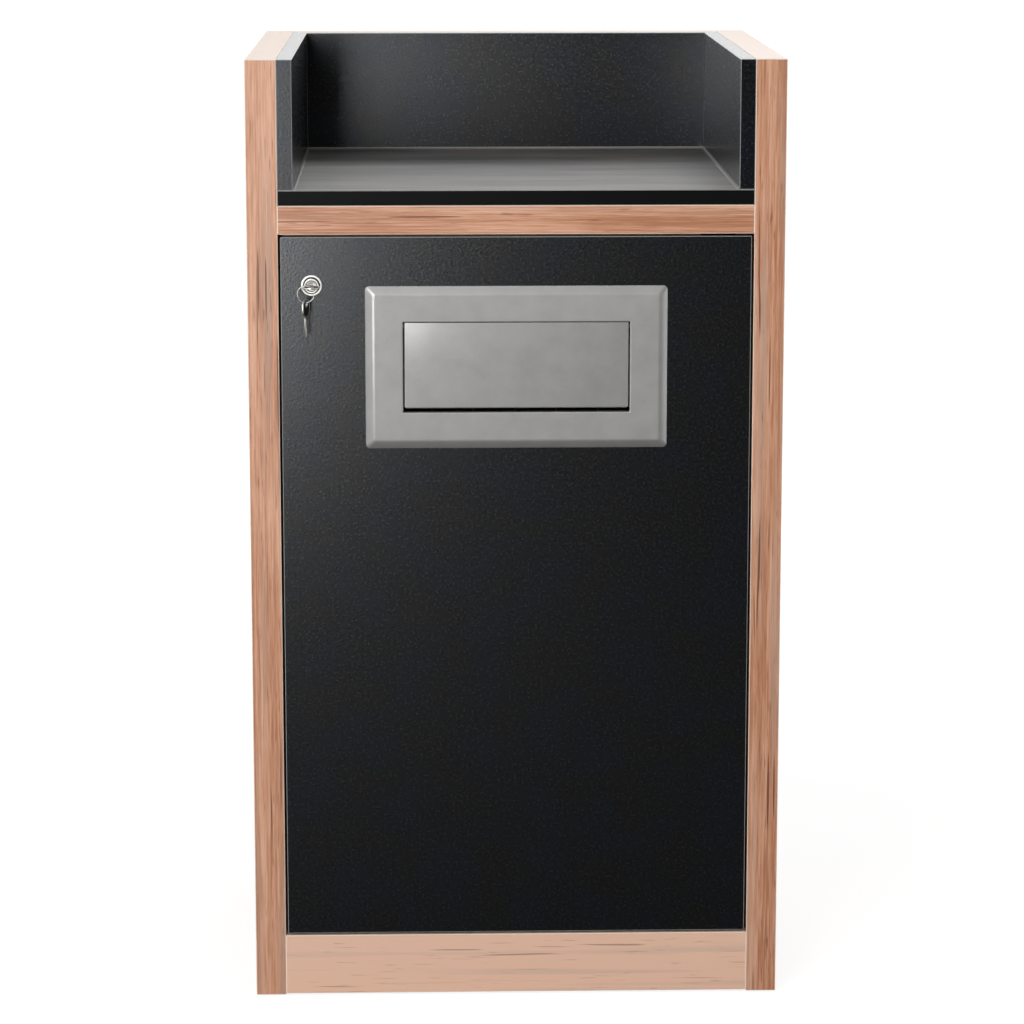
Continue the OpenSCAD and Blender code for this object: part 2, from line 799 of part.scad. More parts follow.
// Folded flap: a flat face, two side flanges that turn on the rod, with a stop tail each,
// and a stiffening fold along the bottom.
module flap_panel() {
    color([0.74, 0.74, 0.73]) in_cabinet() {
        translate([-flap_x, face_y, flap_z0]) cube([2 * flap_x, sheet_t, flap_z1 - flap_z0]);
        translate([-flap_x, face_y, flap_z0]) cube([2 * flap_x, 8, sheet_t]);
        both_sides() translate([flap_x - sheet_t, axis_y, axis_z]) difference() {
            union() {
                rotate([90, 0, 90]) linear_extrude(sheet_t) polygon(flange_outline);
                rod_along_x(flap_eye_r, 0, sheet_t);
                translate([0, -1, 0]) cube([sheet_t, 1.5, tail_h]);
            }
            rod_along_x(rod_r + running, -1, sheet_t + 1);
        }
    }
}

// Lock case: a turned head of stepped rings and a barrel with two flats.
module lock_body() {
    color([0.82, 0.82, 0.82]) at_lock() difference() {
        union() {
            rotate([90, 0, 0]) rotate_extrude() polygon([[0, 0], [lock_head_r, 0],
                [lock_head_r, 1.6], [lock_head_r - 0.7, 2.4], [lock_head_r - 2.2, 2.9],
                [lock_head_r - 2.6, 3.6], [lock_head_r - 3.6, 4.6], [lock_head_r - 4.2, 4.6],
                [lock_head_r - 4.6, 5.4], [plug_r + 1.2, -head_y], [0, -head_y]]);
            intersection() {
                rod_along_y(bore_r, 0, lock_back);
                translate([0, 0, 0]) cube([2 * bore_r, 4 * lock_back, 2 * bore_r - 2.4],
                    center = true);
            }
        }
        rod_along_y(plug_r + running, head_y - 1, lock_back + 1);
    }
}

module lock_nut() {
    color([0.75, 0.73, 0.66]) at_lock() difference() {
        translate([0, board_t, 0]) rotate([-90, 30, 0]) cylinder(r = 14.2, h = 4, $fn = 6);
        rod_along_y(bore_r + hair, 0, lock_back + 1);
    }
}

// Turning plug with the keyway in its face and a square tang for the cam at its back.
module lock_plug() {
    color([0.78, 0.77, 0.74]) at_lock() difference() {
        union() {
            rod_along_y(plug_r, head_y - 0.3, lock_back + 0.3);
            translate([-tang / 2, lock_back, -tang / 2]) cube([tang, cam_t + 0.8, tang]);
        }
        translate([-blade_w / 2 - loose, head_y - 1, -key_t / 2 - loose])
            cube([blade_w + 2 * loose, blade_l + 3, key_t + 2 * loose]);
        rod_along_y(1.5 + hair, lock_back - 6, lock_back + 9);
    }
}

// Flat cam that hangs down at rest, which is the unlocked place.
module lock_cam() {
    cam_w = 14;
    color([0.72, 0.72, 0.72]) at_lock() translate([0, cam_y, 0]) difference() {
        union() {
            rod_along_y(9, 0, cam_t);
            translate([-cam_w / 2, 0, -cam_reach + cam_w / 2])
                cube([cam_w, cam_t, cam_reach - cam_w / 2]);
            translate([0, 0, -cam_reach + cam_w / 2]) rod_along_y(cam_w / 2, 0, cam_t);
        }
        translate([-tang / 2 - hair, -1, -tang / 2 - hair])
            cube([tang + 2 * hair, cam_t + 2, tang + 2 * hair]);
    }
}

module lock_cam_screw() {
    head_seat = lock_back + 0.3 + cam_t + 0.5;
    color([0.75, 0.73, 0.66]) at_lock() translate([0, head_seat, 0]) rotate([90, 0, 0])
        wood_screw(r = 1.5, l = 8, head_r = 4.6, head_h = 2.2);
}

// A cut key in the XY plane: the shoulder is at the origin, the blade runs along +Y and
// the bow lies towards -Y.
module flat_key() {
    half = blade_w / 2;
    linear_extrude(key_t, center = true) {
        difference() {
            union() {
                translate([0, bow_y - head_y]) intersection() {
                    circle(bow_l / 2);
                    square([bow_w, bow_l], center = true);
                }
                translate([-half - 0.6, -5]) square([2 * half + 1.2, 4.4]);
                polygon([[-half, -1], [half, -1], [half, 3], [half - 1.6, 5], [half - 0.6, 7],
                    [half - 2.2, 9.5], [half - 0.8, 11.5], [half - 0.8, 13], [half - 2.6, 15],
                    [half - 1.4, 17], [half - 1.4, 18.5], [half - 2.6, blade_l - 1.5],
                    [half - 3.6, blade_l], [-half + 1.4, blade_l], [-half, blade_l - 2]]);
            }
            translate([0, bow_hole_y - head_y]) circle(bow_hole_r);
        }
    }
}

module lock_key() {
    color([0.8, 0.8, 0.78]) at_lock() translate([0, head_y - 0.6, 0]) flat_key();
}

// Split ring of two touching turns, through the bow of the key in the lock.
module key_ring() {
    color([0.82, 0.82, 0.82]) at_lock() translate([ring_dx, ring_y, ring_dz])
        rotate([90, 0, 0]) rotate_extrude($fn = 64)
            for (dy = [-0.35, 0.35]) translate([ring_r, dy]) circle(ring_wire_r - 0.35, $fn = 24);
}

// The second key hangs from the bottom of the ring.
module spare_key() {
    hang = ring_dz - ring_r + ring_wire_r + loose - bow_hole_r;
    color([0.72, 0.7, 0.66]) at_lock() translate([ring_dx, ring_y, hang])
        rotate([0, 0, -spare_turn]) rotate([0, -90, 0]) rotate([0, 0, 90])
            translate([0, -(bow_hole_y - head_y), 0]) flat_key();
}

// Rounded outline of the bin at a height, given as a share of its full height.
module bin_outline(share, inset = 0) {
    cut = bin_taper * (1 - share) + inset;
    round_rect(bin_w - 2 * rim_w - 2 * cut, bin_d - 2 * rim_w - 2 * cut,
        bin_corner_r - inset - 12 * (1 - share));
}

// Tapered moulded bin with a turned-down rim and a raised foot ring.
module waste_bin() {
    slice = 0.5;
    color([0.35, 0.36, 0.38]) in_cabinet() translate([0, bin_y0 + bin_d / 2, bin_z]) {
        difference() {
            hull() {
                linear_extrude(slice) bin_outline(0);
                translate([0, 0, bin_h - slice]) linear_extrude(slice) bin_outline(1);
            }
            hull() {
                translate([0, 0, bin_wall + 5]) linear_extrude(slice) bin_outline(0, bin_wall);
                translate([0, 0, bin_h]) linear_extrude(slice) bin_outline(1, bin_wall);
            }
            translate([0, 0, -1]) linear_extrude(6) bin_outline(0, 14);
        }
        translate([0, 0, bin_h - rim_h]) difference() {
            linear_extrude(rim_h) round_rect(bin_w, bin_d, bin_corner_r + rim_w - 2);
            translate([0, 0, -1]) linear_extrude(rim_h - 2)
                round_rect(bin_w - 5, bin_d - 5, bin_corner_r + rim_w - 4);
            translate([0, 0, -1]) linear_extrude(rim_h + 2) bin_outline(1, bin_wall / 2);
        }
    }
}

left_side_panel();
right_side_panel();
back_panel();
bottom_deck();
kick_board();
top_rail();
shelf_side_cleats();
shelf_front_cleat();
shelf_rear_cleat();
door_stop_strip();
bottom_stop_block();
tray_shelf();
tray_left_wall();
tray_right_wall();
tray_back_wall();
tray_sealant();
joint_dowels();
cleat_screws();
strike_bracket();
strike_screws();
hinge_base_plates();
hinge_arms();
hinge_plate_screws();
hinge_clamp_screws();
leveller_sockets();
door_panel();
hinge_cups();
hinge_pins();
hinge_cup_screws();
door_bumpers();
bezel();
bezel_studs();
bezel_washers();
bezel_nuts();
flap_brackets();
flap_stop_pads();
flap_rod();
flap_rod_clips();
flap_springs();
flap_panel();
flap_spring_legs();
lock_body();
lock_nut();
lock_plug();
lock_cam();
lock_cam_screw();
lock_key();
key_ring();
spare_key();
waste_bin();
leveller_front_left();
leveller_front_right();
leveller_rear_left();
leveller_rear_right();
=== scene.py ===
import json
import math

import bmesh
import bpy
from mathutils import Matrix, Vector


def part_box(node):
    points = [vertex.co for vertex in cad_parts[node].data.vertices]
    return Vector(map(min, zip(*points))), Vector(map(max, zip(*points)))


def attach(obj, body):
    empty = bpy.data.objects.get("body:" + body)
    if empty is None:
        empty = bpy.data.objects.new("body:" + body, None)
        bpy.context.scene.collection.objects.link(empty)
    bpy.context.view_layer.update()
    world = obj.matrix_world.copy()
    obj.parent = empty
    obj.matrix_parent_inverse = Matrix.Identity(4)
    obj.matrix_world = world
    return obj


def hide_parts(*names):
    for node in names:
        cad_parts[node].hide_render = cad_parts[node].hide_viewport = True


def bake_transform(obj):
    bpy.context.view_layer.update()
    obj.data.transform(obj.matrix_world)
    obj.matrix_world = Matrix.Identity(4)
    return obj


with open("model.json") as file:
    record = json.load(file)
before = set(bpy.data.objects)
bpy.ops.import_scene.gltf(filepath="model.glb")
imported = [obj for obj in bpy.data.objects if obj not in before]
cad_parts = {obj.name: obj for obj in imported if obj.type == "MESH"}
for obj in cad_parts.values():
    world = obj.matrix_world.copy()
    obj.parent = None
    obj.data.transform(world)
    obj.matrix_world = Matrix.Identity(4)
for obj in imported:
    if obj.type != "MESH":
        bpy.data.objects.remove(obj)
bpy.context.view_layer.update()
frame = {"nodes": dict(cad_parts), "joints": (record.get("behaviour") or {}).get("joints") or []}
cadNodes = frame["nodes"]
mm = 0.001
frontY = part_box("left_side_panel")[0].y
placeInFrame = Matrix.Translation((0, frontY, 0)) @ Matrix.Scale(mm, 4)
print("frame loaded:", len(cadNodes), "nodes")


# Lengths below are millimetres from the middle of the cabinet's front face, at floor level
def cabinetBox(name):
    low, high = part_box(name)
    front = Vector((0, frontY, 0))
    return (low - front) / mm, (high - front) / mm


def cabinetMiddle(name):
    return [(low + high) / 2 for low, high in zip(*cabinetBox(name))]


# Mesh tools: a part is a pair of points and faces, and a mesh joins closed parts
def skinRings(rings, endCaps=True, joined=False):
    # a skin over rings of points: capped at both ends, or joined from the last to the first
    count = len(rings[0])
    points = [tuple(point) for ring in rings for point in ring]
    faces = []
    for row in range(len(rings) if joined else len(rings) - 1):
        low = row * count
        high = (row + 1) % len(rings) * count
        for k in range(count):
            after = (k + 1) % count
            faces.append((low + k, low + after, high + after, high + k))
    if endCaps and not joined:
        faces.append(tuple(range(count)))
        faces.append(tuple(range(len(points) - count, len(points))))
    return points, faces


def lathe(profile, joined=False, segments=64):
    # turns (radius, height) points about Z; a joined profile leaves a bore
    turns = [2 * math.pi * k / segments for k in range(segments)]
    rings = [[(radius * math.cos(turn), radius * math.sin(turn), height) for turn in turns]
             for radius, height in profile]
    return skinRings(rings, endCaps=False, joined=joined)


def arc(centreR, centreH, radius, start, end, steps=6):
    angles = [math.radians(start + (end - start) * k / steps) for k in range(steps + 1)]
    return [(centreR + radius * math.cos(a), centreH + radius * math.sin(a)) for a in angles]


def roundedRect(x0, x1, y0, y1, radius, height, steps=6):
    radius = max(radius, 0.02)
    ring = []
    for cx, cy, start in ((x1 - radius, y1 - radius, 0), (x0 + radius, y1 - radius, 90),
                          (x0 + radius, y0 + radius, 180), (x1 - radius, y0 + radius, 270)):
        ring += [(x, y, height) for x, y in arc(cx, cy, radius, start, start + 90, steps)]
    return ring


def roundedBox(low, high, edge, corner=None, steps=3):
    # a box with rounded edges: corner is its upright edges' radius, edge the others'
    corner = edge if corner is None else corner
    insets = [(edge * (1 - math.sin(a)), edge * (1 - math.cos(a)))
              for a in (math.pi / 2 * k / steps for k in range(steps + 1))]
    levels = [(inset, low[2] + rise) for inset, rise in insets]
    levels += [(inset, high[2] - rise) for inset, rise in reversed(insets)]
    rings = [roundedRect(low[0] + i, high[0] - i, low[1] + i, high[1] - i, corner - i, z, 4)
             for i, z in levels]
    return skinRings(rings)


def bent(path, radius, steps=6, closed=False):
    # rounds the corners of a line of 2D points
    line = [Vector(point) for point in path]
    corners = list(zip(line, line[1:], line[2:]))
    if closed:
        corners = list(zip(line[-1:] + line[:-1], line, line[1:] + line[:1]))
    rounded = [] if closed else [tuple(line[0])]
    for before, corner, after in corners:
        inward = (before - corner).normalized()
        outward = (after - corner).normalized()
        half = inward.angle(outward) / 2
        if radius <= 0 or half > 1.55:
            rounded.append(tuple(corner))
            continue
        reach = radius / math.tan(half)
        centre = corner + (inward + outward).normalized() * radius / math.sin(half)
        start = corner + inward * reach - centre
        end = corner + outward * reach - centre
        for k in range(steps + 1):
            rounded.append(tuple(centre + start.lerp(end, k / steps).normalized() * radius))
    return rounded if closed else rounded + [tuple(line[-1])]


def ribbon(path, thickness, low, high, edge=0.25):
    # a flat strip that follows a 2D path, from height low to height high
    line = [Vector(point) for point in path]
    half = thickness / 2
    section = [(half, low + edge), (half, high - edge), (half - edge, high), (edge - half, high),
               (-half, high - edge), (-half, low + edge), (edge - half, low), (half - edge, low)]
    rings = []
    for k, point in enumerate(line):
        before = (point - line[k - 1]).normalized() if k > 0 else None
        after = (line[k + 1] - point).normalized() if k < len(line) - 1 else None
        run = ((before or after) + (after or before)).normalized()
        side = Vector((-run.y, run.x)) / max(0.3, run.dot(after or before))
        rings.append([(point.x + side.x * s, point.y + side.y * s, z) for s, z in section])
    return skinRings(rings)


def plate(outlines, thickness, edge=0.2):
    # a flat plate about z = 0 with eased edges: the first outline is its rim, the others are holes
    curve = bpy.data.curves.new("plate", "CURVE")
    curve.dimensions = "2D"
    curve.fill_mode = "BOTH"
    curve.extrude = thickness / 2 - edge
    curve.bevel_depth = edge
    curve.bevel_resolution = 1
    curve.offset = -edge
    for outline in outlines:
        spline = curve.splines.new("POLY")
        spline.points.add(len(outline) - 1)
        for point, place in zip(spline.points, outline):
            point.co = (place[0], place[1], 0, 1)
        spline.use_cyclic_u = True
    part = evaluatedPart(addObject("plate", curve))
    bpy.data.curves.remove(curve)
    return part


def addObject(name, data):
    made = bpy.data.objects.new(name, data)
    bpy.context.scene.collection.objects.link(made)
    return made


def evaluatedMesh(holder):
    depsgraph = bpy.context.evaluated_depsgraph_get()
    return bpy.data.meshes.new_from_object(holder.evaluated_get(depsgraph))


def evaluatedPart(holder):
    # the final shape of a scratch object as a part; the object is removed
    mesh = evaluatedMesh(holder)
    part = [tuple(v.co) for v in mesh.vertices], [tuple(p.vertices) for p in mesh.polygons]
    bpy.data.meshes.remove(mesh)
    bpy.data.objects.remove(holder)
    return part


def placed(part, matrix):
    return [tuple(matrix @ Vector(point)) for point in part[0]], part[1]


def moved(part, x=0, y=0, z=0, turn=None):
    return placed(part, Matrix.Translation((x, y, z)) @ (turn or Matrix.Identity(4)))


def turnAbout(axis, degrees):
    return Matrix.Rotation(math.radians(degrees), 4, axis)


alongX = turnAbout("Y", 90)
alongY = turnAbout("X", -90)
towardsRoom = turnAbout("X", 90)


def upright(part):
    # lays a part that was drawn in X and Y into X and Z, its height becoming Y
    return [(x, h, y) for x, y, h in part[0]], part[1]


def rawMesh(name, parts):
    whole = bmesh.new()
    for points, faces in parts:
        piece = bmesh.new()
        corners = [piece.verts.new(point) for point in points]
        for face in faces:
            piece.faces.new([corners[k] for k in face])
        bmesh.ops.remove_doubles(piece, verts=piece.verts, dist=0.0005)
        bmesh.ops.recalc_face_normals(piece, faces=piece.faces)
        scratch = bpy.data.meshes.new("scratch")
        piece.to_mesh(scratch)
        whole.from_mesh(scratch)
        bpy.data.meshes.remove(scratch)
        piece.free()
    mesh = bpy.data.meshes.new(name)
    whole.to_mesh(mesh)
    whole.free()
    return mesh


def modified(part, modifiers):
    # applies modifiers, given as (kind, settings), to a part
    holder = addObject("work", rawMesh("work", [part]))
    mesh = holder.data
    for kind, settings in modifiers:
        modifier = holder.modifiers.new(kind, kind)
        for name, value in settings.items():
            setattr(modifier, name, value)
    result = evaluatedPart(holder)
    bpy.data.meshes.remove(mesh)
    return result


def carved(part, cutterPart):
    cutter = addObject("cutter", rawMesh("cutter", [cutterPart]))
    result = modified(part, [("BOOLEAN", {"operation": "DIFFERENCE", "object": cutter,
                                          "solver": "EXACT"})])
    bpy.data.objects.remove(cutter)
    return result


def addPiece(name, parts, material, body, replaced, sharp=35):
    # parts are a list of parts or a finished mesh; replaced are the CAD nodes it stands for
    mesh = parts if isinstance(parts, bpy.types.Mesh) else rawMesh(name, parts)
    mesh.name = name
    mesh.transform(placeInFrame)
    mesh.materials.clear()
    mesh.materials.append(material)
    mesh.shade_smooth()
    mesh.set_sharp_from_angle(angle=math.radians(sharp))
    piece = addObject(name, mesh)
    if body:
        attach(piece, body)
    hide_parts(*replaced)
    return piece


# Geometry Nodes trees
def newTree(name, inputs):
    tree = bpy.data.node_groups.new(name, "GeometryNodeTree")
    tree.interface.new_socket("Geometry", in_out="INPUT", socket_type="NodeSocketGeometry")
    tree.interface.new_socket("Geometry", in_out="OUTPUT", socket_type="NodeSocketGeometry")
    for label, kind, value in inputs:
        socket = tree.interface.new_socket(label, in_out="INPUT",
                                           socket_type="NodeSocket" + kind)
        if value is not None:
            socket.default_value = value
    return tree, tree.nodes.new("NodeGroupInput").outputs, tree.nodes.new("NodeGroupOutput").inputs


def fill(tree, socket, value):
    # a value is a number, a colour or another node's socket
    if isinstance(value, bpy.types.NodeSocket):
        tree.links.new(value, socket)
    else:
        socket.default_value = value


def link(tree, kind, sockets, **settings):
    made = tree.nodes.new(kind)
    for name, value in settings.items():
        setattr(made, name, value)
    for name, value in sockets.items():
        fill(tree, made.inputs[name], value)
    return made.outputs


def endTree(tree, shape, finish, result):
    real = link(tree, "GeometryNodeRealizeInstances", {"Geometry": shape})
    final = link(tree, "GeometryNodeSetMaterial", {"Geometry": real[0], "Material": finish})
    tree.links.new(final[0], result["Geometry"])


def makeCopiesTree():
    # copies a piece to every point, its Z along the point's "facing", turned at random about it
    tree, given, result = newTree("placeCopies", [
        ("Copied piece", "Object", None), ("Most turn", "Float", 0.0), ("Seed", "Int", 7),
        ("Finish", "Material", None)])
    facing = link(tree, "GeometryNodeInputNamedAttribute", {"Name": "facing"},
                  data_type="FLOAT_VECTOR")
    aim = link(tree, "FunctionNodeAlignRotationToVector", {"Vector": facing["Attribute"]}, axis="Z")
    turn = link(tree, "FunctionNodeRandomValue", {"Max": given["Most turn"], "Seed": given["Seed"]},
                data_type="FLOAT")
    spin = link(tree, "FunctionNodeAxisAngleToRotation", {"Angle": turn[1]})
    both = link(tree, "FunctionNodeRotateRotation", {"Rotation": aim[0], "Rotate By": spin[0]},
                rotation_space="LOCAL")
    source = link(tree, "GeometryNodeObjectInfo", {"Object": given["Copied piece"]})
    copies = link(tree, "GeometryNodeInstanceOnPoints", {
        "Points": given["Geometry"], "Instance": source["Geometry"], "Rotation": both[0]})
    endTree(tree, copies[0], given["Finish"], result)
    return tree


def makeWireTree():
    # sweeps a round wire along the line of the mesh's edges
    tree, given, result = newTree("sweepWire", [
        ("Wire radius", "Float", 0.5), ("Sides", "Int", 12), ("Finish", "Material", None)])
    line = link(tree, "GeometryNodeMeshToCurve", {"Mesh": given["Geometry"]})
    section = link(tree, "GeometryNodeCurvePrimitiveCircle", {
        "Resolution": given["Sides"], "Radius": given["Wire radius"]})
    tube = link(tree, "GeometryNodeCurveToMesh", {
        "Curve": line[0], "Profile Curve": section[0], "Fill Caps": True})
    endTree(tree, tube[0], given["Finish"], result)
    return tree


copiesTree = makeCopiesTree()
wireTree = makeWireTree()


def treeResult(mesh, tree, inputs):
    holder = addObject("work", mesh)
    modifier = holder.modifiers.new("nodes", "NODES")
    modifier.node_group = tree
    for item in tree.interface.items_tree:
        if item.in_out == "INPUT" and item.name in inputs:
            modifier[item.identifier] = inputs[item.name]
    result = evaluatedMesh(holder)
    holder.modifiers.remove(modifier)
    bpy.data.objects.remove(holder)
    bpy.data.meshes.remove(mesh)
    return result


def addCopies(name, parts, places, material, body, replaced, mostTurn=0.0, seed=7):
    # places are pairs of a point and the direction that the copied piece's Z takes there
    source = addObject("copied", rawMesh("copied", parts))
    points = bpy.data.meshes.new("places")
    points.from_pydata([place for place, _ in places], [], [])
    facing = points.attributes.new("facing", "FLOAT_VECTOR", "POINT")
    for value, (_, direction) in zip(facing.data, places):
        value.vector = direction
    result = treeResult(points, copiesTree, {"Copied piece": source, "Most turn": mostTurn,
                                             "Seed": seed, "Finish": material})
    mesh = source.data
    bpy.data.objects.remove(source)
    bpy.data.meshes.remove(mesh)
    addPiece(name, result, material, body, replaced)


def sweepWire(path, radius, material, sides=12):
    line = bpy.data.meshes.new("path")
    line.from_pydata(path, [(k, k + 1) for k in range(len(path) - 1)], [])
    return treeResult(line, wireTree, {"Wire radius": radius, "Sides": sides, "Finish": material})


# Materials
def linear(red, green, blue):
    # a colour as a screen shows it, 0 to 255, in the shader's own units
    shares = [value / 255 for value in (red, green, blue)]
    return tuple(s / 12.92 if s <= 0.04045 else ((s + 0.055) / 1.055) ** 2.4
                 for s in shares) + (1,)


def addNode(tree, kind, sockets=None, **settings):
    return link(tree, "ShaderNode" + kind, sockets or {}, **settings)


def startMaterial(name, metallic=0.0, specular=0.5):
    material = bpy.data.materials.new(name)
    material.use_nodes = True
    tree = material.node_tree
    shader = tree.nodes["Principled BSDF"].inputs
    shader["Metallic"].default_value = metallic
    shader["Specular IOR Level"].default_value = specular
    return material, tree, shader


def objectPlace(tree, scale=(1, 1, 1), turn=(0, 0, 0)):
    place = addNode(tree, "TexCoord")["Object"]
    return addNode(tree, "Mapping", {"Vector": place, "Scale": scale, "Rotation": turn})[0]


def noise(tree, vector, scale, detail=2.0, roughness=0.5, distortion=0.0):
    return addNode(tree, "TexNoise", {"Vector": vector, "Scale": scale, "Detail": detail,
                                      "Roughness": roughness, "Distortion": distortion})["Fac"]


def ramp(tree, factor, stops):
    output = addNode(tree, "ValToRGB", {"Fac": factor})["Color"]
    band = output.node.color_ramp
    while len(band.elements) < len(stops):
        band.elements.new(0.5)
    for element, (position, colour) in zip(band.elements, stops):
        element.position = position
        element.color = colour if isinstance(colour, tuple) else (colour, colour, colour, 1)
    return output


def mixed(tree, factor, first, second, blend="MIX"):
    node = tree.nodes.new("ShaderNodeMix")
    node.data_type = "RGBA"
    node.blend_type = blend
    for place, value in ((0, factor), (6, first), (7, second)):
        fill(tree, node.inputs[place], value)
    return node.outputs[2]


def calc(tree, operation, first, second=0.0, third=0.0):
    node = tree.nodes.new("ShaderNodeMath")
    node.operation = operation
    for socket, value in zip(node.inputs, (first, second, third)):
        fill(tree, socket, value)
    return node.outputs[0]


def mapped(tree, value, given, wanted=(0.0, 1.0)):
    # brings a value from the given range to the wanted one, held at its ends
    return addNode(tree, "MapRange", {"Value": value, "From Min": given[0], "From Max": given[1],
                                      "To Min": wanted[0], "To Max": wanted[1]})[0]


def dress(tree, shader, colour, roughness, relief, depth, strength=1.0):
    # depth is the relief's height in metres
    fill(tree, shader["Base Color"], colour)
    fill(tree, shader["Roughness"], roughness)
    made = addNode(tree, "Bump", {"Height": relief, "Distance": depth, "Strength": strength})
    fill(tree, shader["Normal"], made[0])


def edgeWearAndHighlight(tree, radius, wornAndHighlit=(0.03, 0.35)):
    # 1 on arrises, 0 on flat faces; metal paints them paler as wear and a painted highlight, plastic
    # as wear
    soft = addNode(tree, "Bevel", {"Radius": radius}, samples=6)[0]
    flat = addNode(tree, "NewGeometry")["True Normal"]
    same = addNode(tree, "VectorMath", {0: soft, 1: flat}, operation="DOT_PRODUCT")["Value"]
    return mapped(tree, calc(tree, "SUBTRACT", 1.0, same), wornAndHighlit)


def arrisMark(tree, share):
    # the given share on a board's eased edges, 0 elsewhere
    return calc(tree, "MULTIPLY", addNode(tree, "Attribute", attribute_name="arris")["Fac"], share)


def facing(tree, axis, leastShare=0.75):
    # 1 on faces that look along the axis
    normal = addNode(tree, "NewGeometry")["True Normal"]
    along = calc(tree, "ABSOLUTE", addNode(tree, "SeparateXYZ", {"Vector": normal})[axis])
    return calc(tree, "GREATER_THAN", along, leastShare)


woodFinish = {
    "pale": linear(202, 156, 129),
    "middle": linear(183, 132, 102),
    "dark": linear(160, 106, 75),
    "grey": linear(166, 138, 121),
    "fleck": linear(98, 54, 32),
    # the next colour is a painted sheen: top faces are painted towards it as light from above
    "paintedSheen": linear(246, 222, 204),
    # pale arrises: partly worn edges, partly a painted highlight
    "rubbedAndHighlit": linear(238, 220, 206),
    "topPaintedSheen": 0.8,
    "arrisShare": 0.85,
    "roughness": (0.34, 0.48),
    "relief": 0.00012,
    # each layer's scale across and along the grain, detail, roughness and distortion
    "figure": (13, 1.1, 1.5, 0.4),
    "bands": (60, 1.6, 3, 0.55),
    "streaks": (300, 4.5, 4, 0.7, 0.1),
    "fibres": (640, 22, 3, 0.6),
    "greying": (85, 2.0, 2),
    "flecks": (420, 26, 1.0),
    "cracks": (210, 5.0, 1.0, 0.5, 0.2),
}


def woodMaterial(name, level, paleness, seedShift, paintedLightLift=0.0):
    # printed wood laminate: the grain runs along Z, or along X on level boards
    material, tree, shader = startMaterial(name, specular=0.45)
    axes = addNode(tree, "SeparateXYZ", {"Vector": addNode(tree, "TexCoord")["Object"]})
    if level:
        place = addNode(tree, "CombineXYZ", {"X": axes["Z"], "Y": axes["Y"], "Z": axes["X"]})[0]
    else:
        onTop = facing(tree, "Z")
        onEnds = addNode(tree, "CombineXYZ", {"X": axes["X"], "Y": axes["Z"], "Z": axes["Y"]})[0]
        place = mixed(tree, onTop, addNode(tree, "TexCoord")["Object"], onEnds)
    place = addNode(tree, "VectorMath", {0: place, 1: (seedShift, seedShift * 2, seedShift * 3)},
                    operation="ADD")[0]

    def grain(layer):
        across, along, *settings = woodFinish[layer]
        stretched = addNode(tree, "Mapping", {"Vector": place, "Scale": (across, across, along)})[0]
        return noise(tree, stretched, 1.0, *settings)

    figure = calc(tree, "PINGPONG", calc(tree, "MULTIPLY", grain("figure"), 7.0), 1.0)
    bands, streaks, fibres = grain("bands"), grain("streaks"), grain("fibres")
    tone = calc(tree, "MULTIPLY_ADD", figure, 0.14, calc(tree, "MULTIPLY", bands, 0.44))
    tone = calc(tree, "MULTIPLY_ADD", streaks, 0.62, tone)
    tone = calc(tree, "MULTIPLY_ADD", fibres, 0.52, tone)
    tone = calc(tree, "ADD", tone, paleness)
    colour = ramp(tree, tone, [(0.72, woodFinish["dark"]), (0.86, woodFinish["middle"]),
                               (1.0, woodFinish["pale"])])
    greyed = mapped(tree, grain("greying"), (0.53, 0.66), (0, 0.6))
    colour = mixed(tree, greyed, colour, woodFinish["grey"])
    flecks = mapped(tree, grain("flecks"), (0.68, 0.76), (0, 0.5))
    cracks = mapped(tree, grain("cracks"), (0.68, 0.715), (0, 0.85))
    marks = calc(tree, "MAXIMUM", flecks, cracks)
    colour = mixed(tree, marks, colour, woodFinish["fleck"])
    # top faces painted paler: a painted sheen of light from above
    paintedSheen = calc(tree, "MULTIPLY", facing(tree, "Z"), woodFinish["topPaintedSheen"])
    # a lift paints the whole board paler: painted light
    colour = mixed(tree, calc(tree, "MAXIMUM", paintedSheen, paintedLightLift), colour, woodFinish["paintedSheen"])
    # arrises painted pale: partly worn edges, partly a painted highlight
    colour = mixed(tree, arrisMark(tree, woodFinish["arrisShare"]), colour, woodFinish["rubbedAndHighlit"])
    relief = calc(tree, "SUBTRACT", calc(tree, "MULTIPLY", fibres, 0.6),
                  calc(tree, "MULTIPLY", marks, 0.9))
    dress(tree, shader, colour, mapped(tree, streaks, (0, 1), woodFinish["roughness"]), relief,
          woodFinish["relief"], 0.5)
    return material


laminateFinish = {
    "dark": (8, 8, 7),
    "middle": (6, 9, 12),
    "blue": (7, 11, 20),
    "dust": (26, 28, 33),
    # pale arrises: partly worn edges, partly a painted highlight
    "rubbedAndHighlit": (150, 150, 150),
    "arrisShare": 0.85,
    "roughness": (0.213, 0.283),
    "relief": 0.00011,
}


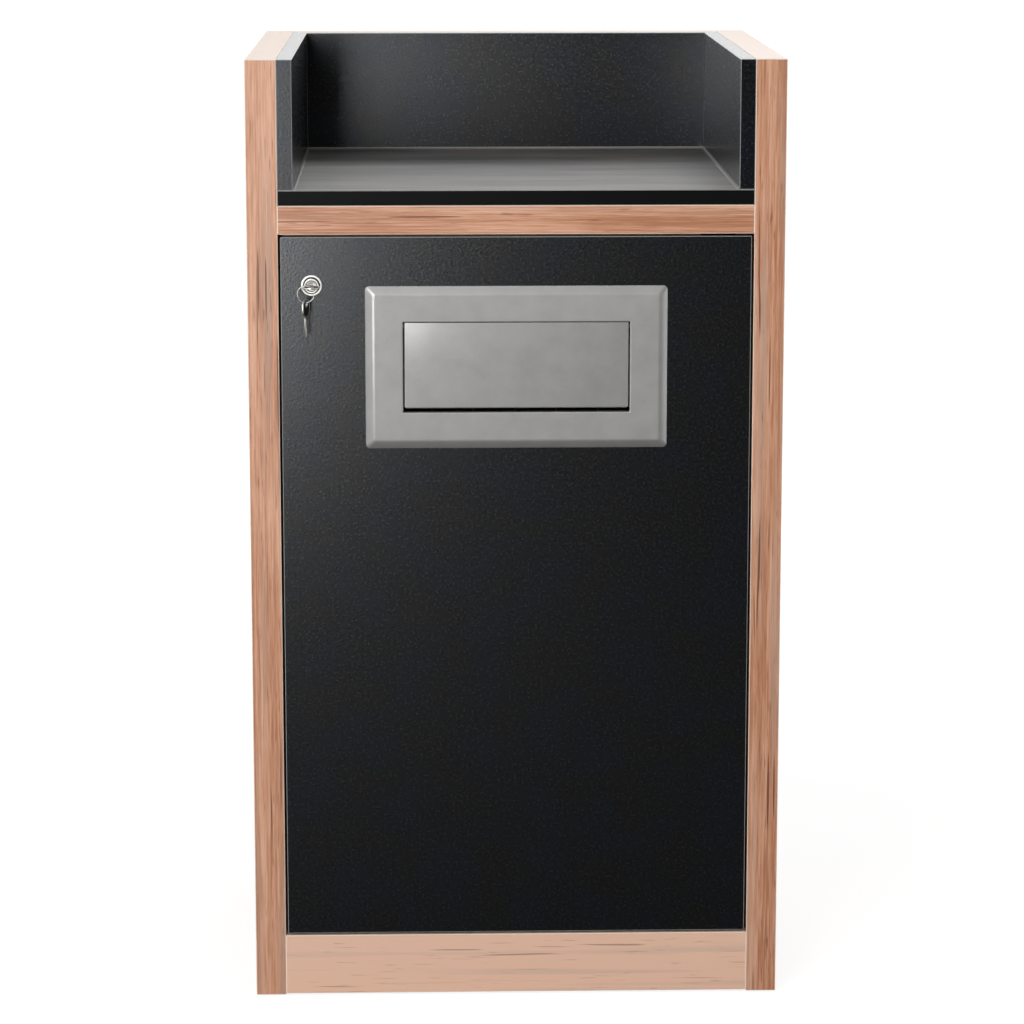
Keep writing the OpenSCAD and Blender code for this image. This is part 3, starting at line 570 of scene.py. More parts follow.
def blackLaminate(name, tone=1.0, frontShare=1.0):
    # satin black: a fine pebble with grey dust, faint blue mottling and pale arrises, painted partly
    # as worn edges and partly as a highlight; tone scales its colours, frontShare the gloss of faces
    # that look along Y
    material, tree, shader = startMaterial(name, specular=0.95)
    mottle = noise(tree, objectPlace(tree), 17, 1, 0.5)
    speckle = noise(tree, objectPlace(tree), 300, 2, 0.6)

    def toned(label):
        return linear(*(tone * value for value in laminateFinish[label]))

    base = ramp(tree, mottle, [(0.38, toned("dark")), (0.50, toned("middle")),
                               (0.62, toned("blue"))])
    colour = mixed(tree, mapped(tree, speckle, (0.46, 0.72)), base, toned("dust"))
    # arrises painted pale: partly worn edges, partly a painted highlight
    colour = mixed(tree, arrisMark(tree, laminateFinish["arrisShare"]), colour,
                   linear(*laminateFinish["rubbedAndHighlit"]))
    tint = ramp(tree, mottle, [(0.3, (0.98, 0.98, 0.97, 1)), (0.7, (0.9, 0.94, 1.0, 1))])
    dull = (frontShare, frontShare, frontShare, 1)
    tint = mixed(tree, facing(tree, "Y"), tint, mixed(tree, 1.0, tint, dull, "MULTIPLY"))
    fill(tree, shader["Specular Tint"], tint)
    gloss = mapped(tree, speckle, (0.3, 0.7), laminateFinish["roughness"])
    dress(tree, shader, colour, gloss, speckle, laminateFinish["relief"])
    return material


shelfFinish = {
    "dark": (70, 69, 69),
    "middle": (94, 92, 91),
    "pale": (121, 118, 115),
    "frontEdge": (9, 10, 11),
    # pale arrises: partly worn edges, partly a painted highlight
    "rubbedAndHighlit": (165, 160, 156),
    "arrisShare": 0.6,
    "roughness": (0.3, 0.55),
    "relief": 0.0001,
}


def greyLaminate():
    # the tray's shelf: grey with streaks from side to side, its front edge near black
    material, tree, shader = startMaterial("shelfLaminate", specular=0.25)
    streaks = noise(tree, objectPlace(tree, (7, 190, 60)), 1.0, 4, 0.6, 0.4)
    cloud = noise(tree, objectPlace(tree, (3, 14, 14)), 1.0, 3)
    grit = noise(tree, objectPlace(tree), 900, 2)
    tone = calc(tree, "MULTIPLY_ADD", streaks, 0.6, calc(tree, "MULTIPLY", cloud, 0.4))
    dark, middle, pale, edge = (linear(*shelfFinish[label])
                                for label in ("dark", "middle", "pale", "frontEdge"))
    colour = ramp(tree, tone, [(0.40, dark), (0.5, middle), (0.60, pale)])
    colour = mixed(tree, facing(tree, "Y"), colour, edge)
    tint = mixed(tree, facing(tree, "Y"), (1, 1, 1, 1), (0.3, 0.3, 0.3, 1))
    fill(tree, shader["Specular Tint"], tint)
    # arrises painted pale: partly worn edges, partly a painted highlight
    colour = mixed(tree, arrisMark(tree, shelfFinish["arrisShare"]), colour,
                   linear(*shelfFinish["rubbedAndHighlit"]))
    dress(tree, shader, colour, mapped(tree, streaks, (0, 1), shelfFinish["roughness"]),
          calc(tree, "ADD", streaks, grit), shelfFinish["relief"], 0.4)
    return material


def scaled(colour, share):
    return tuple(min(1, value * share) for value in colour[:3]) + (1,)


def metal(name, colour, roughness, brushScale, brushDepth, spread=0.12, swirl=0.0, wearAndHighlight=0.35,
          polish=0.0):
    # bare metal: brush marks stretched by brushScale, or swirled; polish adds a sharper sheen; edges
    # painted paler as wear and a painted highlight
    material, tree, shader = startMaterial(name, metallic=1.0)
    coat = {"Coat Weight": polish, "Coat Roughness": 0.16, "Coat IOR": 1.7}
    for socket, value in coat.items():
        shader[socket].default_value = value
    place = objectPlace(tree, brushScale)
    if swirl:
        bend = addNode(tree, "TexNoise", {"Vector": objectPlace(tree), "Scale": 55.0})["Color"]
        bend = addNode(tree, "VectorMath", {0: bend, "Scale": swirl}, operation="SCALE")[0]
        place = addNode(tree, "VectorMath", {0: place, 1: bend}, operation="ADD")[0]
    brush = noise(tree, place, 1.0, 3, 0.6)
    cloud = noise(tree, objectPlace(tree), 40, 3)
    tone = calc(tree, "MULTIPLY_ADD", brush, 0.5, calc(tree, "MULTIPLY", cloud, 0.5))
    base = ramp(tree, tone, [(0.3, scaled(colour, 0.9)), (0.5, colour),
                             (0.72, scaled(colour, 1.08))])
    # edges painted paler: partly wear, partly a painted highlight
    wornAndHighlit = calc(tree, "MULTIPLY", edgeWearAndHighlight(tree, 0.0009), wearAndHighlight)
    base = mixed(tree, wornAndHighlit, base, scaled(colour, 1.3))
    gloss = mapped(tree, brush, (0, 1), (roughness - spread / 2, roughness + spread / 2))
    dress(tree, shader, base, gloss, brush, brushDepth, 0.5)
    return material


def moulded(name, colour, roughness, grainScale=700, depth=0.00008, specular=0.4, fade=1.35):
    # moulded plastic or rubber: a fine spark-eroded grain, paler where it is rubbed
    material, tree, shader = startMaterial(name, specular=specular)
    grit = noise(tree, objectPlace(tree), grainScale, 3, 0.6)
    cloud = noise(tree, objectPlace(tree), 9, 4, 0.6)
    rubbedAndHighlit = scaled(colour, fade)
    base = ramp(tree, cloud, [(0.35, scaled(colour, 0.78)), (0.55, colour), (0.75, rubbedAndHighlit)])
    base = mixed(tree, calc(tree, "MULTIPLY", edgeWearAndHighlight(tree, 0.0015), 0.5), base, rubbedAndHighlit)
    gloss = mapped(tree, grit, (0, 1), (roughness - 0.08, roughness + 0.1))
    dress(tree, shader, base, gloss, grit, depth, 0.6)
    return material


def plainWood(name, pale, dark):
    # solid wood for battens and dowels, its grain along X
    material, tree, shader = startMaterial(name, specular=0.3)
    scale = (12.0, 420.0, 420.0)
    fibre = noise(tree, objectPlace(tree, scale), 1.0, 4, 0.6, 0.3)
    broad = noise(tree, objectPlace(tree, [value / 9 for value in scale]), 1.0, 3)
    tone = calc(tree, "MULTIPLY_ADD", fibre, 0.55, calc(tree, "MULTIPLY", broad, 0.45))
    dress(tree, shader, ramp(tree, tone, [(0.32, dark), (0.66, pale)]), 0.62, fibre, 0.0002, 0.5)
    return material


stileWood = woodMaterial("stileWood", False, 0.0, 0.0)
railWood = woodMaterial("railWood", True, -0.02, 3.1)
# the kick board is painted paler all over than the stiles: painted light
kickWood = woodMaterial("kickWood", True, 0.27, 7.7, paintedLightLift=0.25)
# the door's copy is painted darker and the tray's lighter than the edges': shaded and lit copies of
# one laminate
doorLaminate = blackLaminate("doorLaminate", 0.6)
trayLaminate = blackLaminate("trayLaminate", 1.1)
edgeLaminate = blackLaminate("edgeLaminate", 1.0, frontShare=0.55)
shelfLaminate = greyLaminate()
stainless = metal("stainlessSheet", linear(181, 180, 179), 0.66, (150, 150, 420), 0.00002, 0.14,
                  22.0, polish=1.0)
nickel = metal("nickelPlate", linear(224, 222, 217), 0.38, (300, 300, 300), 0.00001, 0.08)
zinc = metal("zincPlate", linear(176, 172, 158), 0.34, (160, 160, 160), 0.00003, 0.2)
springWire = metal("springWire", linear(150, 150, 152), 0.3, (400, 400, 400), 0.00001)
keyInlay = moulded("keyInlay", linear(26, 26, 28), 0.6, 1400, 0.00003, 0.3)
blackRubberAndGrooveShade = moulded("blackRubberAndGrooveShade", linear(34, 34, 35), 0.7, 1100, 0.0001, 0.3)
clearBumper = moulded("clearBumper", linear(196, 197, 192), 0.3, 900, 0.00003, 0.5, 1.1)
binPlastic = moulded("binPlastic", linear(92, 94, 98), 0.5, 620, 0.00012, 0.4, 1.2)
footPlastic = moulded("footPlastic", linear(52, 52, 54), 0.55, 900, 0.0001, 0.4)
battenWood = plainWood("battenWood", linear(206, 176, 142), linear(160, 122, 88))
dowelWood = plainWood("dowelWood", linear(224, 198, 158), linear(188, 152, 108))
sealantRubber = moulded("sealantRubber", linear(122, 120, 117), 0.34, 240, 0.0002, 0.5, 1.12)
print("materials made:", len(bpy.data.materials))

# Boards: the CAD shape with its arrises eased, so that joints and edges catch the light
board = {"arris": 1.0, "sharpest": 70.0, "arrisSlope": (0.55, 0.72)}
boards = {
    "left_side_panel": stileWood, "right_side_panel": stileWood, "back_panel": stileWood,
    "top_rail": railWood, "kick_board": kickWood, "bottom_deck": trayLaminate,
    "door_panel": doorLaminate, "tray_left_wall": edgeLaminate,
    "tray_right_wall": edgeLaminate, "tray_back_wall": trayLaminate,
    "tray_shelf": shelfLaminate,
}


def easedMesh(nodeName):
    # marks the eased faces with 1 in the mesh's own attribute "arris"
    node = cadNodes[nodeName]
    work = bmesh.new()
    work.from_mesh(node.data)
    work.transform(placeInFrame.inverted() @ node.matrix_world)
    bmesh.ops.remove_doubles(work, verts=work.verts, dist=0.001)
    bmesh.ops.dissolve_limit(work, angle_limit=math.radians(0.5), verts=work.verts,
                             edges=work.edges)
    limit = math.radians(board["sharpest"])
    arrises = [edge for edge in work.edges if edge.calc_face_angle(0) > limit]
    made = bmesh.ops.bevel(work, geom=arrises, offset=board["arris"], offset_type="OFFSET",
                           segments=1, affect="EDGES", clamp_overlap=True)
    work.faces.index_update()
    eased = {face.index for face in made["faces"]}
    # boards that come with eased arrises have them marked by their slope
    least, most = board["arrisSlope"]
    eased |= {face.index for face in work.faces if least < max(map(abs, face.normal)) < most}
    mesh = bpy.data.meshes.new(nodeName)
    work.to_mesh(mesh)
    work.free()
    marks = mesh.attributes.new("arris", "FLOAT", "FACE")
    for index, mark in enumerate(marks.data):
        mark.value = 1.0 if index in eased else 0.0
    return mesh


for nodeName, boardFinish in boards.items():
    addPiece(nodeName + "_board", easedMesh(nodeName), boardFinish,
             "door" if nodeName == "door_panel" else "root", [nodeName], 30)

# Hidden CAD pieces that keep their own shape
plainFinishes = {
    "shelf_side_cleats": battenWood, "shelf_front_cleat": battenWood,
    "shelf_rear_cleat": battenWood, "door_stop_strip": battenWood,
    "bottom_stop_block": battenWood, "joint_dowels": dowelWood, "leveller_sockets": zinc,
}
for nodeName, plainFinish in plainFinishes.items():
    plainMesh = cadNodes[nodeName].data
    plainMesh.materials.clear()
    plainMesh.materials.append(plainFinish)
print("boards finished:", len(boards) + len(plainFinishes))

# Steel bezel: a pressed sheet with a soft bevelled border and a rolled edge round the mouth
bezel = {
    "sheet": 1.5,
    "cornerRadius": 5.5,
    "lipHeight": 1.2,
    "bevelWidth": 10.0,
    "bendLength": 4.2,
    "mouthGap": 1.5,
    "mouthBelowFlap": 5.0,
    "mouthHeight": 112.0,
    "mouthRoll": 1.1,
    "mouthCorner": 0.8,
    "bendSteps": 8,
    "collarBend": 1.2,
    "sideCollarShort": 20.0,
}
bezelLow, bezelHigh = cabinetBox("bezel")
flapLow, flapHigh = cabinetBox("flap_panel")
mouthX = flapHigh.x + bezel["mouthGap"]
mouthZ0 = flapLow.z - bezel["mouthBelowFlap"]
mouthZ1 = mouthZ0 + bezel["mouthHeight"]


def bezelRing(inset, y, radius):
    return roundedRect(-bezelHigh.x + inset, bezelHigh.x - inset, bezelLow.z + inset,
                       bezelHigh.z - inset, radius, y)


def mouthRing(outset, y):
    return roundedRect(-mouthX - outset, mouthX + outset, mouthZ0 - outset, mouthZ1 + outset,
                       bezel["mouthCorner"] + outset, y)


def makeBezel():
    faceY = bezelLow.y
    lip = bezel["lipHeight"]
    wide = bezel["bevelWidth"]
    bend = bezel["bendLength"]
    slope = (-faceY - lip) / wide
    corner = bezel["cornerRadius"]
    rings = [bezelRing(0, 0, corner), bezelRing(0, -lip * 0.6, corner),
             bezelRing(0.12, -lip * 0.85, corner), bezelRing(0.45, -lip - 0.08, corner - 0.3),
             bezelRing(1.0, -lip - slope, corner - 0.6)]
    for k in range(bezel["bendSteps"] + 1):
        step = bend * (k / bezel["bendSteps"] - 0.5)
        drop = slope * (bend / 2 - abs(step)) ** 2 / (2 * bend)
        y = max(faceY, -lip - slope * (wide + step)) + drop
        rings.append(bezelRing(wide + step, y, 3.0 - step * 0.4))
    roll = bezel["mouthRoll"]
    rings.append(mouthRing(roll + 1.2, faceY))
    for outset, rise in arc(roll, 0, roll, 90, 180, 4):
        rings.append(mouthRing(outset, faceY + roll - rise))
    inner = faceY + bezel["sheet"]
    rings += [mouthRing(0, inner), mouthRing(1.5, inner), bezelRing(wide + 1, inner, 1.5),
              bezelRing(wide, inner + 0.1, 1.8), bezelRing(2.4, -0.5, 3.2), bezelRing(1.3, 0, 4.2)]
    shell = upright(skinRings(rings, joined=True))
    middle = mouthX + bezel["sheet"] / 2
    bottom = mouthZ0 - bezel["sheet"] / 2
    sideTop = bottom + bezel["mouthHeight"] - bezel["sideCollarShort"]
    path = bent([(-middle, sideTop), (-middle, bottom), (middle, bottom), (middle, sideTop)],
                bezel["collarBend"], 4)
    collar = upright(ribbon(path, bezel["sheet"], inner - 0.4, bezelHigh.y))
    return [shell, collar]


addPiece("steel_bezel", makeBezel(), stainless, "door", ["bezel"])

# Flap: one folded sheet with side flanges that turn on the rod
flap = {
    "sheet": 1.5,
    "foldRadius": 1.7,
    "reliefNotch": 1.6,
    "bottomFold": 8.0,
    "belowMouth": 0.6,
    "flangeBack": 2.2,
    "flangeBehindRod": 4.0,
    "flangeBelowRod": 45.0,
    "eyeRadius": 5.0,
    "rodBore": 3.05,
    "tailWidth": 1.5,
    "mergeWithin": 0.12,  # joins the points of the slivers that the bore's cut leaves
}
swing = next(joint for joint in frame["joints"] if joint["name"] == "flap_swing")
axisY = (swing["pos_m"][1] - frontY) / mm
axisZ = swing["pos_m"][2] / mm


def makeFlap():
    faceY = flapLow.y
    x = flapHigh.x
    z0 = flapLow.z
    z1 = mouthZ1 - flap["belowMouth"]
    notch = flap["reliefNotch"]
    back = faceY + flap["bottomFold"]
    eye = arc(axisY, axisZ, flap["eyeRadius"], -30, 84, 8)
    side = [(faceY, z0 + notch), (flap["flangeBack"], z0 + notch),
            (axisY + flap["flangeBehindRod"], axisZ - flap["flangeBelowRod"])]
    side += eye + [(axisY + 0.5, flapHigh.z), (axisY + 0.5 - flap["tailWidth"], flapHigh.z),
                   (axisY - 1, axisZ + 4.2), (faceY + 2.5, z1), (faceY, z1)]
    face = [(-x, z0 + notch), (notch - x, z0 + notch), (notch - x, z0), (x - notch, z0),
            (x - notch, z0 + notch), (x, z0 + notch), (x, z1), (-x, z1)]
    points = [(px, faceY, pz) for px, pz in face]
    faces = [tuple(range(len(face)))]
    for edge in (x, -x):
        start = len(points)
        points += [(edge, py, pz) for py, pz in side]
        faces.append(tuple(range(start, start + len(side))))
    start = len(points)
    points += [(px, py, z0) for px, py in ((notch - x, faceY), (x - notch, faceY),
                                           (x - notch, back), (notch - x, back))]
    faces.append(tuple(range(start, start + 4)))
    pan = modified((points, faces), [
        ("BEVEL", {"width": flap["foldRadius"], "segments": 5, "limit_method": "ANGLE",
                   "offset_type": "OFFSET"}),
        ("SOLIDIFY", {"thickness": flap["sheet"], "offset": -1, "use_even_offset": True})])
    bore = moved(lathe([(0, -x - 4), (flap["rodBore"], -x - 4), (flap["rodBore"], x + 4),
                        (0, x + 4)], segments=32), 0, axisY, axisZ, alongX)
    return [modified(carved(pan, bore), [("WELD", {"merge_threshold": flap["mergeWithin"]})])]


addPiece("flap_sheet", makeFlap(), stainless, "flap", ["flap_panel"], 30)
print("bezel and flap made")

# Lock: turned head with stepped rings, threaded barrel with two flats, plug, nut, cam
lock = {
    "barrelRadius": 9.5,
    "barrelFlat": 8.3,
    "threadPitch": 1.0,
    "threadDepth": 0.35,
    "plugBore": 6.05,
    "plugPastBarrel": 0.3,
    "slotWidth": 8.2,
    "slotHeight": 2.4,
    "slotDepth": 25.0,
    "outerRing": 2.6,
    "innerRing": 9.0,
    "innerGap": 6.9,
    "grooveFloor": 0.7,
    "shadeRingThick": 0.4,
    "outerShadeRingTop": 1.0,
    "innerShadeRingDrop": 0.7,
    "tangHalf": 3.0,
    "nutRadius": 14.2,
    "camHub": 9.0,
    "camTip": 7.0,
    "camSquare": 3.05,
    "camScrewSeat": 2.8,
}
lockLow, lockHigh = cabinetBox("lock_body")
lockX, _, lockZ = cabinetMiddle("lock_body")
lockRadius = (lockHigh.x - lockLow.x) / 2
headOut = -lockLow.y
lockEnd = lockHigh.y


def atLock(part, turn=alongY, y=0):
    return moved(part, lockX, y, lockZ, turn)


def makeLockBody():
    # heights run towards the room, so the profile is turned to face it
    ring, floor, barrel = lock["outerRing"], lock["grooveFloor"], lock["barrelRadius"]
    head = [(lockRadius, 0), (lockRadius, 1.2)] + arc(lockRadius - 0.6, 1.2, 0.6, 15, 90, 5)
    head += arc(lockRadius - ring + 0.4, 1.4, 0.4, 90, 180, 4) + [(lockRadius - ring, floor)]
    head += [(lock["innerRing"], floor), (lock["innerRing"], headOut - 0.5)]
    head += arc(lock["innerRing"] - 0.5, headOut - 0.5, 0.5, 15, 90, 5)
    head += arc(lock["innerGap"] + 0.3, headOut - 0.3, 0.3, 90, 180, 3)
    head += [(lock["innerGap"], headOut - 0.9), (lock["plugBore"], headOut - 0.9)]
    back = [(lock["plugBore"], -lockEnd), (barrel - 0.4, -lockEnd)]
    for k in range(int((lockEnd - 1.5) / lock["threadPitch"])):
        h = -lockEnd + 0.4 + k * lock["threadPitch"]
        back += [(barrel - lock["threadDepth"], h), (barrel, h + lock["threadPitch"] / 2)]
    back += [(barrel - lock["threadDepth"], -0.8), (barrel - 0.3, 0)]
    points, faces = lathe(head + back, joined=True, segments=72)
    flat = lock["barrelFlat"]
    points = [(x, max(-flat, min(flat, y)) if h < -0.1 else y, h) for x, y, h in points]
    return [atLock((points, faces), towardsRoom)]


def makeGrooveShadeRings():
    # black rings laid in the head's two grooves: painted shade and dirt there
    rings = []
    outerRing = lock["innerRing"], lockRadius - lock["outerRing"], lock["outerShadeRingTop"]
    innerRing = lock["plugBore"] + 0.1, lock["innerGap"], headOut - lock["innerShadeRingDrop"]
    for inner, outer, top in (outerRing, innerRing):
        bottom = top - lock["shadeRingThick"]
        section = [(outer, bottom), (outer, top - 0.1), (outer - 0.1, top), (inner + 0.1, top),
                   (inner, top - 0.1), (inner, bottom)]
        rings.append(atLock(lathe(section, joined=True, segments=72), towardsRoom))
    return rings


def makePlug():
    low, high = cabinetBox("lock_plug")
    radius = (high.x - low.x) / 2
    front = low.y
    end = lockEnd + lock["plugPastBarrel"]
    profile = [(0, front + 0.25), (radius - 1.6, front + 0.2), (radius - 1.2, front),
               (radius - 0.35, front), (radius, front + 0.35), (radius, end), (0, end)]
    slotX, slotZ = lock["slotWidth"] / 2, lock["slotHeight"] / 2
    slot = roundedBox((-slotX, front - 2, -slotZ), (slotX, front + lock["slotDepth"], slotZ), 0.3)
    half = lock["tangHalf"]
    tang = roundedBox((-half, lockEnd, -half), (half, high.y, half), 0.2)
    return [carved(atLock(lathe(profile, segments=48)), atLock(slot, None)), atLock(tang, None)]


def makeNut(radius, bore, thickness, segments=24):
    # hexagon nut about Z with turned corners
    outline = [(radius * math.cos(a), radius * math.sin(a))
               for a in (math.radians(60 * k) for k in range(6))]
    hole = arc(0, 0, bore, 0, 360 - 360 / segments, segments - 1)
    return plate([bent(outline, radius * 0.12, 3, closed=True), hole], thickness, 0.35)


def makeLockNut():
    low, high = cabinetBox("lock_nut")
    nut = makeNut(lock["nutRadius"], lock["barrelRadius"] + 0.05, high.y - low.y, 40)
    return [atLock(nut, alongY @ turnAbout("Z", 30), (low.y + high.y) / 2)]


def makeCam():
    low, high = cabinetBox("lock_cam")
    half, square = lock["camTip"], lock["camSquare"]
    tip = low.z - lockZ + half
    outline = arc(0, 0, lock["camHub"], -38, 218, 22) + arc(0, tip, half, 180, 360, 12)
    corners = [(-square, -square), (square, -square), (square, square), (-square, square)]
    slab = upright(plate([outline, bent(corners, 0.2, 1, True)], high.y - low.y, 0.3))
    return [atLock(slab, None, (low.y + high.y) / 2)]


addPiece("lock_case", makeLockBody(), nickel, "door", ["lock_body"])
# dark rings that paint the shade and dirt in the head's grooves
addPiece("lock_head_gaskets", makeGrooveShadeRings(), blackRubberAndGrooveShade, "door", ["lock_body"])
addPiece("plug_turned", makePlug(), nickel, "plug", ["lock_plug"])
addPiece("lock_nut_hex", makeLockNut(), zinc, "door", ["lock_nut"])
addPiece("cam_plate", makeCam(), zinc, "plug", ["lock_cam"])

# Screws: one turned shape with a cross recess, copied to every place of its kind
screw = {
    "pitch": 1.6,
    "threadFloorShare": 0.72,
    "woodRadius": 1.75,
    "woodHead": (3.6, 2),
    "crossWide": 0.42,
    "crossDeep": 1.1,
    "mostTurn": math.pi / 2,
    "sideCleatYs": (80, 225, 370, 515),
    "crossCleatXs": (-210, 0, 210),
    "aboveRail": 17.5,
}
strike = {"sheet": 2.0, "bendRadius": 1.5, "screwYs": (38, 50)}


def screwPart(radius, length, headRadius, headHigh, threaded=True):
    # points along +Z, its head's seat at z = 0
    profile = [(0, length), (radius * 0.35, length - 1.2)]
    pitch, floor = screw["pitch"], radius * screw["threadFloorShare"]
    for k in range(int((length - 5) / pitch) if threaded else 0):
        h = length - 2.2 - k * pitch
        profile += [(floor, h), (radius, h - 0.5), (floor, h - 1.0)]
    profile += [(radius * 0.8, 1), (radius, 0.4), (radius, 0), (headRadius, 0),
                (headRadius, -headHigh * 0.25)]
    profile += [(headRadius * math.cos(a), -headHigh * (0.25 + 0.75 * math.sin(a)))
                for a in (math.radians(18 * k) for k in range(1, 5))] + [(0, -headHigh)]
    reach, wide = headRadius * 0.6, screw["crossWide"]
    deep = min(screw["crossDeep"], headHigh * 0.7)
    bar = roundedBox((-reach, -wide, -headHigh - 1), (reach, wide, -headHigh + deep), 0.1, steps=1)
    return carved(carved(lathe(profile, segments=20), bar), moved(bar, turn=turnAbout("Z", 90)))


def woodScrew(length):
    return screwPart(screw["woodRadius"], length, *screw["woodHead"])


def addScrews(name, part, places, body, replaced, seed=3):
    addCopies(name, [part], places, zinc, body, replaced, screw["mostTurn"], seed)


innerX = cabinetBox("tray_shelf")[1].x
boardThick = cabinetBox("door_panel")[1].y
cleatZ = cabinetMiddle("shelf_side_cleats")[2]
railZ = cabinetBox("top_rail")[0].z + screw["aboveRail"]
rearY = cabinetBox("shelf_rear_cleat")[0].y
sideScrews = [((side * (innerX - boardThick), y, cleatZ), (side, 0, 0))
              for side in (-1, 1) for y in screw["sideCleatYs"]]
crossScrews = [((x, y, z), (0, way, 0))
               for y, z, way in ((2 * boardThick, railZ, -1), (rearY, cleatZ, 1))
               for x in screw["crossCleatXs"]]
strikeScrews = [((strike["sheet"] - innerX, y, lockZ), (-1, 0, 0)) for y in strike["screwYs"]]
camScrews = [((lockX, lockEnd + lock["camScrewSeat"], lockZ), (0, -1, 0))]
addScrews("side_cleat_screws", woodScrew(37), sideScrews, "root", ["cleat_screws"])
addScrews("cross_cleat_screws", woodScrew(28), crossScrews, "root", ["cleat_screws"], 5)
addScrews("strike_fixing_screws", woodScrew(16), strikeScrews, "root", ["strike_screws"])
addScrews("cam_fixing_screw", screwPart(1.5, 8, 4.6, 2.2, False), camScrews, "plug",
          ["lock_cam_screw"])
print("lock and screws made")

# Keys: a flat blank with milled blade grooves, a raised rim round a dark inlay on the bow
key = {
    "thickness": 1.8,
    "bowWide": 22.0,
    "bowLong": 24.0,
    "bowAhead": -14.0,
    "holeAhead": -19.3,
    "holeRadius": 3.2,
    "rimWidth": 2.1,
    "eyeletWidth": 1.0,
    "bladeHalf": 3.8,
    "bladeLong": 23.0,
    "shoulderGap": 0.6,
    "spareTurn": 20.0,
}


def bowOutline(inset):
    # a circle with two flat sides, drawn in X and Y
    radius = key["bowLong"] / 2 - inset
    cut = math.degrees(math.acos((key["bowWide"] / 2 - inset) / radius))
    return (arc(0, key["bowAhead"], radius, cut, 180 - cut, 16)
            + arc(0, key["bowAhead"], radius, 180 + cut, 360 - cut, 16))


def holeOutline(radius):
    return arc(0, key["holeAhead"], radius, 0, 345, 23)


def keyParts():
    half = key["bladeHalf"]
    end = key["bladeLong"]
    thick = key["thickness"]
    teeth = [(half, -1), (half, 3), (half - 1.6, 5), (half - 0.6, 7), (half - 2.2, 9.5),
             (half - 0.8, 11.5), (half - 0.8, 13), (half - 2.6, 15), (half - 1.4, 17),
             (half - 1.4, 18.5), (half - 2.6, end - 1.5), (half - 3.6, end), (1.4 - half, end),
             (-half, end - 2), (-half, -1)]
    groove = bent([(-1.9, 1.5), (-0.7, 1.5), (-0.7, end - 3), (-1.9, end - 3)], 0.5, 3, True)
    neck = bent([(-half - 0.6, -5), (half + 0.6, -5), (half + 0.6, -0.6), (-half - 0.6, -0.6)],
                0.5, 3, True)
    hole = holeOutline(key["holeRadius"])
    bowCore = plate([bowOutline(0.15), hole], thick - 0.5, 0.2)
    rim = plate([bowOutline(0), bowOutline(key["rimWidth"])], thick, 0.3)
    eyelet = plate([holeOutline(key["holeRadius"] + key["eyeletWidth"]), hole], thick, 0.25)
    blank = plate([teeth, groove], thick, 0.15)
    web = plate([[(-2.6, 1), (0, 1), (0, end - 2.5), (-2.6, end - 2.5)]], thick * 0.5, 0.1)
    return [bowCore, rim, eyelet, plate([neck], thick, 0.25), blank, web]


def inlayPart():
    # runs 0.05 mm under the rim and the eyelet
    outer = bowOutline(key["rimWidth"] - 0.05)
    inner = holeOutline(key["holeRadius"] + key["eyeletWidth"] - 0.05)
    return plate([outer, inner], key["thickness"] - 0.14, 0.12)


keyShapes = keyParts()
keyInlayShape = inlayPart()


def addKey(node, body, place):
    addPiece(node + "_blank", [placed(part, place) for part in keyShapes], nickel, body, [node])
    addPiece(node + "_inlay", [placed(keyInlayShape, place)], keyInlay, body, [node])


addKey("lock_key", "key", Matrix.Translation((lockX, -headOut - key["shoulderGap"], lockZ)))

# Split ring: two turns of spring wire that step past each other, drawn in X and Z
splitRing = {
    "wire": 0.5,
    "clearance": 0.05,
    "gap": 0.44,
    "stepShare": 0.05,
    "turnShare": 0.995,
    "stepsPerTurn": 64,
    "startAngle": 35,
    "spareDrop": 1.2,
}
ringLow, ringHigh = cabinetBox("key_ring")
ringX, ringY, ringZ = cabinetMiddle("key_ring")
ringRadius = (ringHigh.x - ringLow.x) / 2 - splitRing["wire"] - splitRing["clearance"]


def ringPath():
    path = []
    steps = splitRing["stepsPerTurn"] * 2
    for k in range(steps + 1):
        turn = 2 * k / steps
        share = max(0, min(1, (turn - 1) / (2 * splitRing["stepShare"]) + 0.5))
        share = share * share * (3 - 2 * share)
        angle = math.radians(splitRing["startAngle"] + 360 * turn * splitRing["turnShare"])
        path.append((ringX + ringRadius * math.cos(angle),
                     ringY + splitRing["gap"] * (2 * share - 1),
                     ringZ + ringRadius * math.sin(angle)))
    return path


addPiece("split_ring", sweepWire(ringPath(), splitRing["wire"], nickel, 14), nickel, "ring",
         ["key_ring"], 60)
spareZ = ringZ - ringRadius + splitRing["spareDrop"] - key["holeRadius"]
addKey("spare_key", "spare",
       Matrix.Translation((ringX, ringY, spareZ)) @ turnAbout("Z", -key["spareTurn"])
       @ turnAbout("Y", -90) @ turnAbout("Z", 90)
       @ Matrix.Translation((0, -key["holeAhead"], 0)))
print("keys made")

# Springs: one wire each, from the leg on the bezel through the coil to the leg on the flap
spring = {
    "coilRadius": 4.4,
    "wire": 0.6,
    "turns": 5,
    "pitch": 1.7,
    "legTurn": 17.8,
    "legLong": 15.2,
    "movingLegShorter": 0.4,
    "stepsPerTurn": 28,
    "inFromFlapEnd": 2.8,
    "blendTurns": 4.9,
}
coilX = flapHigh.x - spring["inFromFlapEnd"]


